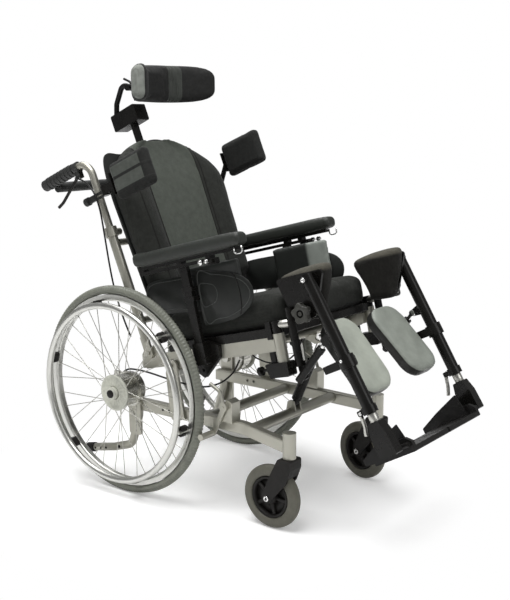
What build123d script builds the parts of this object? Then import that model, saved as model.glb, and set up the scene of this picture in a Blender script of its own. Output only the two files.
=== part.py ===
from build123d import *
import os
from math import cos, hypot, pi, radians, sin, sqrt, tan

# Tilt in space wheelchair with a reclining back, elevating legrests and attendant brakes.
# Millimetres. The floor is Z = 0, the occupant faces -Y and has their left hand on +X.
# The origin lies on the floor under the middle of the chair.

os.makedirs("parts", exist_ok=True)
SIDES = ((-1, "right"), (1, "left"))

# ---------------------------------------------------------------- driving dimensions
seat_clear = 0.3            # gap between a soft piece and what carries it
run_clear = 0.06            # radial gap of a pin or shaft in its bore
slide_clear = 0.15          # gap on each side of a telescoping tube

# half the width of the back shell: the frames, wheels, armrests and legrests keep their places beside it
shell_half_width = 226.0

# rear wheels
rear_axle_y = 276.6         # rear axle behind the origin
rear_wheel_d = 610.0
rear_wheel_x = shell_half_width + 42.0        # middle of the tyre from the mid plane
tyre_d = 26.0
rim_depth = 19.0
rim_width = 23.0
tyre_seat_depth = 3.0
tyre_seat_width = 17.0
tyre_foot_top = 4.0
handrim_d = 19.0
handrim_ring_r = rear_wheel_d / 2 - 51.0
handrim_x = rear_wheel_x + 49.0
handrim_brackets = 6
handrim_foot_r = handrim_ring_r + 9.0
hub_d = 92.0
hub_flange_d = 104.0
hub_flange_t = 4.0
hub_inner_x = rear_wheel_x - 28.0
hub_outer_x = rear_wheel_x + 32.0
hub_cap_d = 36.0
hub_cap_length = 14.0
spoke_count = 36
spoke_d = 2.2
axle_d = 12.7

# casters
caster_stem_y = rear_axle_y - rear_wheel_d / 2 - 254.0
caster_stem_x = shell_half_width
caster_d = 175.0
caster_width = 32.0
caster_trail = 55.0
caster_hub_d = 116.0
caster_stem_d = 12.0
fork_gap = 38.0
fork_wall = 7.0
fork_crown_z = 204.0
caster_axle_d = 10.0
caster_yaw = {"right": 0.0, "left": -12.0}

# chassis
rail_x = shell_half_width - 26.0
rail_width = 25.0
rail_height = 34.0
rail_wall = 3.0
rail_z = 252.0
rail_front_z = 235.0
stem_housing_d = 36.0
stem_housing_top = 274.0
cross_tube_y = (rear_axle_y - 250.0, rear_axle_y - 415.0)
cross_tube_size = (40.0, 28.0)
cross_tube_wall = 2.5
cross_tube_inset = 5.0
lock_shoe_z = 226.0
accessory_hole_d = 8.5
accessory_hole_pitch = 25.0
accessory_hole_y = rear_axle_y - 105.0
axle_plate_t = 8.0
axle_plate_width = 46.0
axle_plate_z = (rear_wheel_d / 2 - 145.0, rear_wheel_d / 2 + 33.0)
upright_foot = 52.0
upright_width = 44.0
upright_t = 8.0
tipping_tube_d = 25.0
tipping_bore_d = 20.0

# seat, which tilts about a pivot on the chassis uprights
tilt_pivot_y = rear_axle_y - 150.0
tilt_pivot_z = 390.0
seat_tilt = 14.0
tilt_pin_d = 12.0
lug_t = 7.0
seat_rail_x = rail_x
seat_rail_width = 20.0
seat_rail_height = 38.0
seat_rail_wall = 2.5
seat_rail_rear = -108.0
seat_rail_front = 374.0
pan_half_width = shell_half_width - 16.5
pan_height = 24.0
pan_wall = 3.0
pan_rear = -5.0
pan_front = 402.0
cushion_half_width = shell_half_width - 12.0
cushion_thickness = 86.0
cushion_front = 415.0

# back, which reclines about a pivot on the seat rails
recline_pivot = (-75.0, 45.5)   # along and above the seat rails
back_lean = 22.5
recline_pin_d = 12.0
recline_lug_x = (shell_half_width - 10.0, shell_half_width - 2.0)
back_tube_foot = 34.0
back_tube_x = shell_half_width - 11.0
back_tube_d = 28.0
back_tube_wall = 2.5
back_tube_top = 372.0
shell_front = 60.0
shell_t = 6.0
shell_bottom = 62.0
shell_taper = 0.05            # the sides draw in below the shoulder, per length
shell_shoulder = 430.0
shell_top = 612.0
back_cushion_bottom = 142.0
back_cushion_center = 44.0
back_cushion_bolster = 68.0

# push handles, sliding in the back tubes
push_tube_d = 22.0
push_tube_foot = 250.0
push_tube_top = 577.0
push_bend = 42.0
grip_d = 34.0
grip_span = (-66.0, -196.0)
push_bar_d = 30.0
push_bar_place = (560.0, -170.0)
lever_pivot = (553.0, -52.0)
lever_tip = (500.0, -176.0)

# headrest
post_size = (22.0, 12.0)
post_front = 20.0
head_block_u = (677.0, 727.0)
head_block_f = (-42.0, 62.0)
head_block_width = 50.0
head_pivot_y = rear_axle_y + 180.0
head_pivot_z = 1158.0
head_pad_half_width = 165.0
head_pad_height = 112.0
head_pad_front_y = rear_axle_y + 62.0
head_pad_t = 62.0

# lateral supports
lateral_x = shell_half_width + 29.0
lateral_rail_x = shell_half_width + 14.0
lateral_rail_u = 465.0
lateral_pad_t = 34.0
lateral_pad_size = (150.0, 106.0)
lateral_pad_u = {"right": 470.0, "left": 512.0}
lateral_pad_f = 188.0

# armrests, sliding in sockets on the seat rails
arm_post_x = shell_half_width + 14.0
arm_post_size = (26.0, 12.0)
arm_post_s = 140.0
arm_raise = {"right": 0.0, "left": 8.0}        # height setting of each armrest
arm_depth = {"right": 0.0, "left": -50.0}      # each pad set to the front or back
arm_foot = -4.0
arm_top = 284.5
arm_bar_x = shell_half_width + 22.0
arm_bar_width = 22.0
arm_upper_bar = (-8.0, 340.0)
arm_lower_bar = (-8.0, 252.0)
arm_pad_x = (shell_half_width - 4.0, shell_half_width + 48.0)
arm_pad_s = (-22.0, 366.0)
arm_pad_top = 323.0
guard_x = (shell_half_width - 7.0, shell_half_width - 3.0)
guard_band_h = ((168.0, 180.0), (195.0, 207.0))
hip_pad_x = (shell_half_width - 46.0, shell_half_width - 7.5)
hip_pad_s = (120.0, 305.0)
hip_pad_h = (155.0, 258.0)

# legrests
receiver_s = 396.0
receiver_x = shell_half_width - 1.0
receiver_d = 30.0
receiver_h = (-26.0, 48.0)
hanger_pin_d = 22.0
receiver_bore = hanger_pin_d + 2 * run_clear
hanger_s = 436.0
hanger_x = shell_half_width - 12.0
hanger_tube_d = 22.0
hanger_h = (-44.0, 108.0)
hanger_arm_h = 69.0
knee_pivot = (522.0, 169.0)     # along and above the seat rails
knee_pin_d = 10.0
leg_angle = 17.3                # leg tube against the seat's normal
leg_tube_x = shell_half_width + 4.0
leg_tube_d = 32.0
leg_tube_end = 361.0
knee_shell_x = (leg_tube_x - 27.0, leg_tube_x - 19.0)
knee_pad_x = (leg_tube_x - 74.0, knee_shell_x[0] - 0.3)
star_knob_place = (482.0, 88.0)
star_knob_lobes = 5
calf_pad_size = (146.0, 222.0)
calf_pad_center = (215.0, -43.6)
calf_bar = (218.0, -83.0)      # the bar that the calf pad tilts on
calf_bar_d = 12.0
calf_collar = (209.0, 241.0)
calf_collar_d = 44.0
calf_pad_t = 40.0
calf_pad_x = leg_tube_x - 112.0
calf_pitch = {"right": 10.0, "left": 15.0}
foot_tube_d = 22.0
foot_bracket_along = (384.0, 470.0)
foot_plate_x = (5.0, leg_tube_x - 46.0)
foot_plate_length = 126.0
foot_plate_t = 14.0
foot_wall_h = 40.0
foot_wall_t = 12.0
foot_heel = (486.0, -88.0)      # along and in front of the leg tube
foot_pitch = 1.3                # plate against the square of the leg tube
flip_axis = (leg_tube_x - 38.0, 22.0)       # X and height over the plate's underside
flip_pin_d = 8.0
foot_fin_x = (leg_tube_x - 70.0, leg_tube_x - 67.0)

# struts
tilt_strut_foot = (rear_axle_y - 418.0, 274.5)
tilt_strut_head = (371.0, 4.4)  # along and above the seat rails
tilt_cylinder_d = 28.0
tilt_rod_d = 12.0
tilt_cylinder_length = 146.0
tilt_rod_length = 136.0
elevation_foot = (439.0, -71.0)   # along and above the seat rails
elevation_head = (155.0, -34.0)   # along and in front of the leg tube
elevation_x = leg_tube_x - 8.0
elevation_tube_d = 20.0
elevation_tube_span = (-14.0, 102.0)
elevation_rod_d = 12.0
elevation_rod_length = 140.0

# brake cables
cable_d = 5.0


# ---------------------------------------------------------------- frames of reference
def on_seat(forward, up):
    """(Y, Z) of a point measured along and above the seat rails from the tilt pivot."""
    t = radians(seat_tilt)
    return (tilt_pivot_y - forward * cos(t) + up * sin(t),
            tilt_pivot_z + forward * sin(t) + up * cos(t))


def on_back(up, front):
    """(Y, Z) of a point measured up the back tubes and in front of them from the recline pivot."""
    y, z = on_seat(*recline_pivot)
    t = radians(back_lean)
    return (y + up * sin(t) - front * cos(t), z + up * cos(t) + front * sin(t))


def on_leg(along, out):
    """(Y, Z) of a point measured down the leg tube and in front of it from the knee pivot."""
    y, z = on_seat(*knee_pivot)
    t = radians(seat_tilt + leg_angle)
    return (y - along * sin(t) - out * cos(t), z - along * cos(t) + out * sin(t))


def on_foot(forward, up):
    """(Y, Z) of a point on a footplate measured from its heel edge and its underside."""
    y, z = on_leg(*foot_heel)
    t = radians(seat_tilt + leg_angle - foot_pitch)
    return (y - forward * cos(t) + up * sin(t), z + forward * sin(t) + up * cos(t))


# ---------------------------------------------------------------- shared shapes
def panel(points, x_from, x_to, corner=0.0):
    """A flat piece whose outline of (Y, Z) points runs between two planes of X."""
    with BuildPart() as piece:
        with BuildSketch(Plane.YZ.offset(min(x_from, x_to))) as outline:
            with BuildLine():
                Polyline(*points, close=True)
            make_face()
            if corner:
                fillet(outline.vertices(), corner)
        extrude(amount=abs(x_to - x_from))
    return piece.part


def rod(start, end, diameter, bore=0.0):
    """A round bar or straight tube between two points."""
    axis = Vector(*end) - Vector(*start)
    with BuildPart() as piece:
        with BuildSketch(Plane(origin=start, z_dir=axis)):
            Circle(diameter / 2)
            if bore:
                Circle(bore / 2, mode=Mode.SUBTRACT)
        extrude(amount=axis.length)
    return piece.part


def pipe(points, diameter, bend, bore=0.0):
    """A round tube bent along a route of points."""
    with BuildPart() as piece:
        with BuildLine() as route:
            FilletPolyline(*points, radius=bend)
        with BuildSketch(Plane(origin=route.line @ 0, z_dir=route.line % 0)):
            Circle(diameter / 2)
            if bore:
                Circle(bore / 2, mode=Mode.SUBTRACT)
        sweep()
    return piece.part


def bead(center, x_from, x_to, diameter, bore=0.0):
    """A disc, boss or pin along X at a (Y, Z) point."""
    return rod((x_from, *center), (x_to, *center), diameter, bore)


def box_tube(point, start, end, x, width, height, wall):
    """A rectangular tube lying in a plane of X, from one (Y, Z) point of a frame to another."""
    low, high = height / -2, height / 2
    with BuildPart() as piece:
        add(panel([point(start, low), point(end, low), point(end, high), point(start, high)],
                  x - width / 2, x + width / 2, 3.0))
        add(panel([point(start - 1, low + wall), point(end + 1, low + wall),
                   point(end + 1, high - wall), point(start - 1, high - wall)],
                  x - width / 2 + wall, x + width / 2 - wall), mode=Mode.SUBTRACT)
    return piece.part


# ---------------------------------------------------------------- rear wheels
wheel_z = rear_wheel_d / 2
rim_outer_r = wheel_z - tyre_d + 1.0
rim_inner_r = rim_outer_r - rim_depth
axle_center = (rear_axle_y, wheel_z)

for side, hand in SIDES:
    wheel_center = (side * rear_wheel_x, rear_axle_y, wheel_z)
    # section planes hold the wheel's axle along their vertical axis
    section = Plane(origin=wheel_center, x_dir=(0, 0, 1), z_dir=(0, side, 0))
    axle_line = Axis(wheel_center, (1, 0, 0))

    with BuildPart() as rear_tyre:
        with BuildSketch(section):
            with Locations((wheel_z - tyre_d / 2, 0)):
                Circle(tyre_d / 2)
            with Locations((rim_outer_r - tyre_d / 2 + seat_clear, 0)):
                Rectangle(tyre_d, tyre_d + 2, mode=Mode.SUBTRACT)
            # foot of the tyre in the rim's channel
            with Locations((rim_outer_r + seat_clear + (tyre_foot_top - tyre_seat_depth) / 2, 0)):
                Rectangle(tyre_foot_top + tyre_seat_depth, tyre_seat_width - 2 * seat_clear)
        revolve(axis=axle_line)
    rear_tyre.part.label = f"rear_tyre_{hand}"
    export_step(rear_tyre.part, f"parts/rear_tyre_{hand}.step")

    with BuildPart() as rear_rim:
        with BuildSketch(section) as rim_section:
            with Locations(((rim_outer_r + rim_inner_r) / 2, 0)):
                Rectangle(rim_depth, rim_width)
            fillet(rim_section.vertices().sort_by(Axis.X)[:2], rim_depth / 3)
            with Locations((rim_outer_r, 0)):
                Rectangle(2 * tyre_seat_depth, tyre_seat_width, mode=Mode.SUBTRACT)
        revolve(axis=axle_line)
    with BuildPart() as handrim:
        with Locations(Plane(origin=(side * handrim_x, rear_axle_y, wheel_z), z_dir=(1, 0, 0)).location):
            Torus(handrim_ring_r, handrim_d / 2)
        for i in range(handrim_brackets):
            turn = 2 * pi * (i + 0.25) / handrim_brackets
            foot = (rear_axle_y + handrim_foot_r * cos(turn), wheel_z + handrim_foot_r * sin(turn))
            add(bead(foot, side * (rear_wheel_x + rim_width / 2 + 0.02), side * (handrim_x - 2), 10))
    # the handrim stands on the rim's side by its brackets
    rear_rim.part = Part() + [*rear_rim.part.solids(), *handrim.part.solids()]
    rear_rim.part.label = f"rear_rim_{hand}"
    export_step(rear_rim.part, f"parts/rear_rim_{hand}.step")

    with BuildPart() as rear_hub:
        add(bead(axle_center, side * hub_inner_x, side * hub_outer_x, hub_d))
        for flange_x in (hub_inner_x, hub_outer_x - hub_flange_t):
            add(bead(axle_center, side * flange_x, side * (flange_x + hub_flange_t), hub_flange_d))
        add(bead(axle_center, side * hub_outer_x, side * (hub_outer_x + hub_cap_length), hub_cap_d))
        for i in range(spoke_count):
            flange_x = hub_outer_x - hub_flange_t / 2 if i % 2 else hub_inner_x + hub_flange_t / 2
            lead = 0.42 if (i // 2) % 2 else -0.42
            turn = 2 * pi * i / spoke_count
            foot_r, head_r = hub_flange_d / 2 - 4, rim_inner_r - seat_clear
            rim_x = rear_wheel_x + (2 if i % 2 else -2)
            add(rod((side * flange_x, rear_axle_y + foot_r * cos(turn - lead),
                     wheel_z + foot_r * sin(turn - lead)),
                    (side * rim_x, rear_axle_y + head_r * cos(turn), wheel_z + head_r * sin(turn)), spoke_d))
        add(bead(axle_center, side * (hub_inner_x - 1), side * (hub_outer_x + 8),
                 axle_d + 2 * run_clear), mode=Mode.SUBTRACT)
    rear_hub.part.label = f"rear_hub_{hand}"
    export_step(rear_hub.part, f"parts/rear_hub_{hand}.step")

# ---------------------------------------------------------------- casters
caster_z = caster_d / 2
for side, hand in SIDES:
    stem = (side * caster_stem_x, caster_stem_y)
    yaw = caster_yaw[hand]
    fork_plane = Plane.YZ.offset(-fork_gap / 2 - fork_wall)
    crown_r = stem_housing_d / 2 + 2

    with BuildPart() as fork:
        with BuildSketch(fork_plane):
            with BuildLine():
                Polyline((-crown_r, fork_crown_z), (crown_r, fork_crown_z), (caster_trail * 0.86, 150),
                         (caster_trail + 17, caster_z), (caster_trail, caster_z - 17),
                         (caster_trail - 17, caster_z), (-6, 140), (-crown_r, 178), close=True)
            make_face()
        extrude(amount=fork_gap + 2 * fork_wall)
        fillet(fork.edges().filter_by(Axis.X), 6)
        with BuildSketch(Plane.YZ.offset(-fork_gap / 2)):
            with Locations((caster_trail, caster_z)):
                Circle(caster_d / 2 + 5)
        extrude(amount=fork_gap, mode=Mode.SUBTRACT)
        with BuildSketch(Plane.XY.offset(fork_crown_z - 1)):
            Circle(caster_stem_d / 2)
        extrude(amount=stem_housing_top - fork_crown_z + 1 - 6)
        with BuildSketch(Plane.YZ.offset(-fork_gap / 2 - fork_wall - 3)):
            with Locations((caster_trail, caster_z)):
                Circle(caster_axle_d / 2)
        extrude(amount=fork_gap + 2 * fork_wall + 6)
    fork.part = fork.part.rotate(Axis.Z, yaw).translate((*stem, 0))
    fork.part.label = f"caster_fork_{hand}"
    export_step(fork.part, f"parts/caster_fork_{hand}.step")

    with BuildPart() as caster:
        with BuildSketch(Plane.YZ.offset(-caster_width / 2)):
            with Locations((caster_trail, caster_z)):
                Circle(caster_d / 2)
                Circle(caster_hub_d / 2 + seat_clear / 2, mode=Mode.SUBTRACT)
        extrude(amount=caster_width)
        fillet(caster.edges().filter_by(GeomType.CIRCLE).group_by(SortBy.RADIUS)[-1], 11)
        with BuildSketch(Plane.YZ.offset(-caster_width / 2 + 3)):
            with Locations((caster_trail, caster_z)):
                Circle(caster_hub_d / 2)
                Circle(caster_axle_d / 2 + run_clear, mode=Mode.SUBTRACT)
        extrude(amount=caster_width - 6)
        for face_x in (caster_width / 2 - 7, -caster_width / 2):
            with BuildSketch(Plane.YZ.offset(face_x)):
                with Locations((caster_trail, caster_z)):
                    Circle(caster_hub_d / 2 - 8)
                    Circle(22, mode=Mode.SUBTRACT)
            extrude(amount=7, mode=Mode.SUBTRACT)
    caster.part = caster.part.rotate(Axis.Z, yaw).translate((*stem, 0))
    caster.part.label = f"caster_wheel_{hand}"
    export_step(caster.part, f"parts/caster_wheel_{hand}.step")

# ---------------------------------------------------------------- chassis
rail_inner_x = rail_x - rail_width / 2
rail_outer_x = rail_x + rail_width / 2
rail_top = rail_z + rail_height / 2
seat_rail_mid = seat_rail_height / 2
seat_inner_x = seat_rail_x - seat_rail_width / 2
seat_outer_x = seat_rail_x + seat_rail_width / 2

lock_arm_y = rear_axle_y - rear_wheel_d / 2 - 45.0

with BuildPart() as chassis_frame:
    for side, hand in SIDES:
        with BuildLine() as rail_route:
            FilletPolyline((side * rail_x, rear_axle_y + 26, rail_z),
                           (side * rail_x, caster_stem_y + 165, rail_z - 3),
                           (side * caster_stem_x, caster_stem_y + 8, rail_front_z), radius=120)
        with BuildSketch(Plane(origin=rail_route.line @ 0, x_dir=(1, 0, 0), z_dir=rail_route.line % 0)):
            RectangleRounded(rail_width, rail_height, 4)
            Rectangle(rail_width - 2 * rail_wall, rail_height - 2 * rail_wall, mode=Mode.SUBTRACT)
        sweep(path=rail_route.line)
        add(rod((side * caster_stem_x, caster_stem_y, fork_crown_z + seat_clear),
                (side * caster_stem_x, caster_stem_y, stem_housing_top), stem_housing_d))
        add(rod((side * caster_stem_x, caster_stem_y, fork_crown_z),
                (side * caster_stem_x, caster_stem_y, stem_housing_top - 5),
                caster_stem_d + 2 * run_clear), mode=Mode.SUBTRACT)
        # plates that carry the axles outside the rails
        y0, y1 = rear_axle_y - axle_plate_width / 2, rear_axle_y + axle_plate_width / 2
        z0, z1 = axle_plate_z
        add(panel([(y0, z0), (y1, z0), (y1, z1), (y0, z1)], side * rail_outer_x,
                  side * (rail_outer_x + axle_plate_t), 8))
        add(bead(axle_center, side * (rail_outer_x - 1), side * (rail_outer_x + axle_plate_t + 1),
                 axle_d + 2 * run_clear), mode=Mode.SUBTRACT)
        # accessory holes through the rails behind the uprights
        for i in range(2):
            hole = (accessory_hole_y - i * accessory_hole_pitch, rail_z)
            add(bead(hole, side * (rail_x - rail_width), side * (rail_x + rail_width), accessory_hole_d),
                mode=Mode.SUBTRACT)
    for tube_y in cross_tube_y:
        with BuildSketch(Plane.YZ.offset(-rail_inner_x - cross_tube_inset)):
            with Locations((tube_y, rail_z - 4)):
                Ellipse(cross_tube_size[0] / 2, cross_tube_size[1] / 2)
                Ellipse(cross_tube_size[0] / 2 - cross_tube_wall, cross_tube_size[1] / 2 - cross_tube_wall,
                        mode=Mode.SUBTRACT)
        extrude(amount=2 * (rail_inner_x + cross_tube_inset))
    # bracket on the front cross tube for the foot of the tilt strut
    foot_y, foot_z = tilt_strut_foot
    tube_crest = rail_z - 4 + cross_tube_size[1] / 2
    for lug_x in (-16, 11):
        add(panel([(foot_y - 15, tube_crest - 8), (foot_y + 18, tube_crest - 8), (foot_y + 13, foot_z + 8),
                   (foot_y + 4, foot_z + 13), (foot_y - 8, foot_z + 10)], lug_x, lug_x + 5))
    add(bead((foot_y, foot_z), -12, 12, 10))
    for side, hand in SIDES:
        y, z = tilt_pivot_y, tilt_pivot_z
        foot = y - 18
        half = upright_width / 2
        add(panel([(foot - upright_foot / 2, rail_z - 12), (foot + upright_foot / 2, rail_z - 12),
                   (y + half, z - 24),
                   (y + half - 4, z + 8), (y + 8, z + half - 6), (y - 8, z + half - 6), (y - half + 4, z + 8),
                   (y - half, z - 24)], side * rail_outer_x, side * (rail_outer_x + upright_t)))
        add(bead((y, z), side * (seat_outer_x - lug_t - 4), side * (rail_outer_x + upright_t + 4),
                 tilt_pin_d))
        # post of the wheel lock, standing on the rail
        add(panel([(lock_arm_y - 20, rail_top - 7), (lock_arm_y + 22, rail_top - 7),
                   (lock_arm_y + 22, rail_top + 40),
                   (lock_arm_y - 4, rail_top + 58), (lock_arm_y - 20, rail_top + 50)],
                  side * (rail_inner_x + 3), side * (rail_outer_x + 14)))
        add(bead((lock_arm_y + 4, rail_top + 38), side * (rail_outer_x + 12), side * (rail_outer_x + 26), 8))
chassis_frame.part.label = "chassis_frame"
export_step(chassis_frame.part, "parts/chassis_frame.step")

# anti-tip tubes that drop from the axle plates and run back along the floor
tip_x = rail_outer_x - tipping_tube_d / 2 - 0.6
tip_route = [(rear_axle_y + 2, rail_z - rail_height / 2 - seat_clear), (rear_axle_y + 2, 216),
             (rear_axle_y + 34, 118), (rear_axle_y + 110, 94),
             (rear_axle_y + 205, 74)]
with BuildPart() as tipping_tubes:
    for side, hand in SIDES:
        add(pipe([(side * tip_x, *point) for point in tip_route], tipping_tube_d, 40, tipping_bore_d))
        for step in (26, 50, 74):
            ratio = step / 97
            y = tip_route[-2][0] + ratio * 95
            z = tip_route[-2][1] - ratio * 20
            add(bead((y, z), side * (tip_x - tipping_tube_d), side * (tip_x + tipping_tube_d), 6),
                mode=Mode.SUBTRACT)
    # rubber plugs in the ends
    (y0, z0), (y1, z1) = tip_route[-2:]
    run = hypot(y1 - y0, z1 - z0)
    ahead = ((y1 - y0) / run, (z1 - z0) / run)
    for side, hand in SIDES:
        start = (side * tip_x, y1, z1)
        end = (side * tip_x, y1 + 20 * ahead[0], z1 + 20 * ahead[1])
        add(rod(start, end, tipping_tube_d + 4))
tipping_tubes.part.label = "tipping_tubes"
export_step(tipping_tubes.part, "parts/tipping_tubes.step")

# fixed side of the drum brakes, with the axles
with BuildPart() as drum_brakes:
    for side, hand in SIDES:
        plate_x = rail_outer_x + axle_plate_t
        add(bead(axle_center, side * plate_x, side * (hub_inner_x - 1), hub_flange_d - 10))
        add(bead(axle_center, side * (rail_outer_x - 8), side * (hub_outer_x + 7), axle_d))
        add(bead(axle_center, side * (rail_outer_x - 8), side * rail_outer_x, 24))
        # anchor behind the drum that the cable leaves forward
        anchor = ((20, 22), (62, 18), (62, 44), (42, 44), (42, 29), (20, 32))
        add(panel([(rear_axle_y + y, wheel_z + z) for y, z in anchor], side * (plate_x + 8),
                  side * (plate_x + 16), 1))
drum_brakes.part.label = "drum_brakes"
export_step(drum_brakes.part, "parts/drum_brakes.step")

# wheel locks: a hand lever and a shoe bar that presses on the tyre
lock_pivot = (lock_arm_y + 4, rail_top + 38)
tyre_front_y = rear_axle_y - sqrt(wheel_z ** 2 - (wheel_z - lock_shoe_z) ** 2)
shoe = (tyre_front_y - 11.5, lock_shoe_z)
for side, hand in SIDES:
    lock_x = rail_outer_x + 14.5
    with BuildPart() as wheel_lock:
        add(bead(lock_pivot, side * lock_x, side * (lock_x + 10), 26))
        add(bead(lock_pivot, side * (lock_x - 0.4), side * (lock_x + 11), 8 + 2 * run_clear),
            mode=Mode.SUBTRACT)
        hub_edge = (lock_pivot[0] + 2, lock_pivot[1] - 8)
        add(panel([(hub_edge[0] - 9, hub_edge[1]), (hub_edge[0] + 9, hub_edge[1] - 2),
                   (shoe[0] + 3, shoe[1] + 2),
                   (shoe[0] - 8, shoe[1] - 4)], side * (lock_x + 1), side * (lock_x + 7)))
        add(bead(shoe, side * (lock_x + 1), side * (rear_wheel_x + 16), 18))
        add(pipe([(side * (lock_x + 5), lock_pivot[0], lock_pivot[1] + 8),
                  (side * (lock_x + 5), lock_pivot[0] + 13, lock_pivot[1] + 42),
                  (side * (lock_x + 5), lock_pivot[0] + 46, lock_pivot[1] + 58)], 10, 20))
        add(bead(lock_pivot, side * (lock_x - 0.4), side * (lock_x + 11), 8 + 2 * run_clear),
            mode=Mode.SUBTRACT)
    wheel_lock.part.label = f"wheel_lock_{hand}"
    export_step(wheel_lock.part, f"parts/wheel_lock_{hand}.step")

# ---------------------------------------------------------------- seat

with BuildPart() as seat_frame:
    for side, hand in SIDES:
        add(box_tube(lambda s, h: on_seat(s, h + seat_rail_mid), seat_rail_rear, seat_rail_front,
                     side * seat_rail_x, seat_rail_width, seat_rail_height, seat_rail_wall))
        # lug under the rail, hanging on the chassis pivot
        add(panel([on_seat(-38, 1), on_seat(38, 1), on_seat(22, -14), on_seat(8, -20), on_seat(-8, -20),
                   on_seat(-22, -14)], side * (seat_outer_x - lug_t), side * seat_outer_x))
        add(bead(on_seat(0, 0), side * (seat_outer_x - lug_t - 5), side * (seat_outer_x + 1),
                 tilt_pin_d + 2 * run_clear), mode=Mode.SUBTRACT)
        # recline plate standing on the rail, with its pin
        s, h = recline_pivot
        add(panel([on_seat(s - 42, 4), on_seat(s + 46, 4), on_seat(s + 44, 30), on_seat(s + 18, h + 18),
                   on_seat(s - 14, h + 18), on_seat(s - 34, 44)],
                  side * (seat_outer_x - 1), side * (seat_outer_x + 5), 5))
        add(bead(on_seat(s, h), side * (seat_outer_x + 2), side * (recline_lug_x[1] + 5), recline_pin_d))
        # round receiver of the legrest, with its bracket on the rail's end
        low, high = receiver_h
        add(rod((side * receiver_x, *on_seat(receiver_s, low)),
                (side * receiver_x, *on_seat(receiver_s, high)),
                receiver_d))
        add(panel([on_seat(seat_rail_front - 16, 4), on_seat(receiver_s - 6, 4), on_seat(receiver_s - 6, 34),
                   on_seat(seat_rail_front - 16, 34)], side * seat_inner_x, side * (receiver_x + 6)))
        add(rod((side * receiver_x, *on_seat(receiver_s, low - 1)),
                (side * receiver_x, *on_seat(receiver_s, high + 1)),
                receiver_bore), mode=Mode.SUBTRACT)
    # cross members under the pan
    for s in (60, 335):
        add(rod((-seat_inner_x - 1, *on_seat(s, seat_rail_mid)),
                (seat_inner_x + 1, *on_seat(s, seat_rail_mid)), 22, 18))
    # slotted lugs that take the head of the tilt strut, with room for the opened pivot
    s, h = tilt_strut_head
    for lug_x in (-19, 14):
        add(panel([on_seat(326, 12), on_seat(344, 12), on_seat(s + 22, h + 6), on_seat(s + 22, h - 16),
                   on_seat(s - 16, h - 18), on_seat(326, 4)], lug_x, lug_x + 5))
        add(bead(on_seat(s, h), lug_x - 1, lug_x + 6, 24), mode=Mode.SUBTRACT)
seat_frame.part.label = "seat_frame"
export_step(seat_frame.part, "parts/seat_frame.step")


def cushion_section(forward, half_width, height, crown):
    """A cross section of the seat cushion: flat underside, bulging sides and a crowned top."""
    y, z = on_seat(forward, seat_rail_height + pan_height + seat_clear)
    t = radians(seat_tilt)
    with BuildSketch(Plane(origin=(0, y, z), x_dir=(1, 0, 0), z_dir=(0, cos(t), -sin(t)))) as outline:
        with BuildLine():
            foot, side_top = half_width - 9, half_width - 14
            Polyline((-foot, 0), (foot, 0))
            ThreePointArc((foot, 0), (half_width, -height * 0.42), (side_top, -height))
            ThreePointArc((side_top, -height), (0, -height - crown), (-side_top, -height))
            ThreePointArc((-side_top, -height), (-half_width, -height * 0.42), (-foot, 0))
        make_face()
    return outline.sketch


seat_cushion_stations = ((pan_rear + 1, 0.94, 0.72, 8), (pan_rear + 34, 1.0, 0.90, 14),
                         (130, 0.985, 0.86, 16),
                         (250, 0.98, 0.86, 16), (cushion_front - 70, 1.0, 0.90, 14),
                         (cushion_front - 20, 0.99, 0.84, 10), (cushion_front, 0.95, 0.60, 5))
with BuildPart() as seat_cushion:
    sections = [cushion_section(s, cushion_half_width * w, (cushion_thickness - crown) * h, crown)
                for s, w, h, crown in seat_cushion_stations]
    loft(Sketch() + sections)
seat_cushion.part.label = "seat_cushion"
export_step(seat_cushion.part, "parts/seat_cushion.step")

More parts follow.
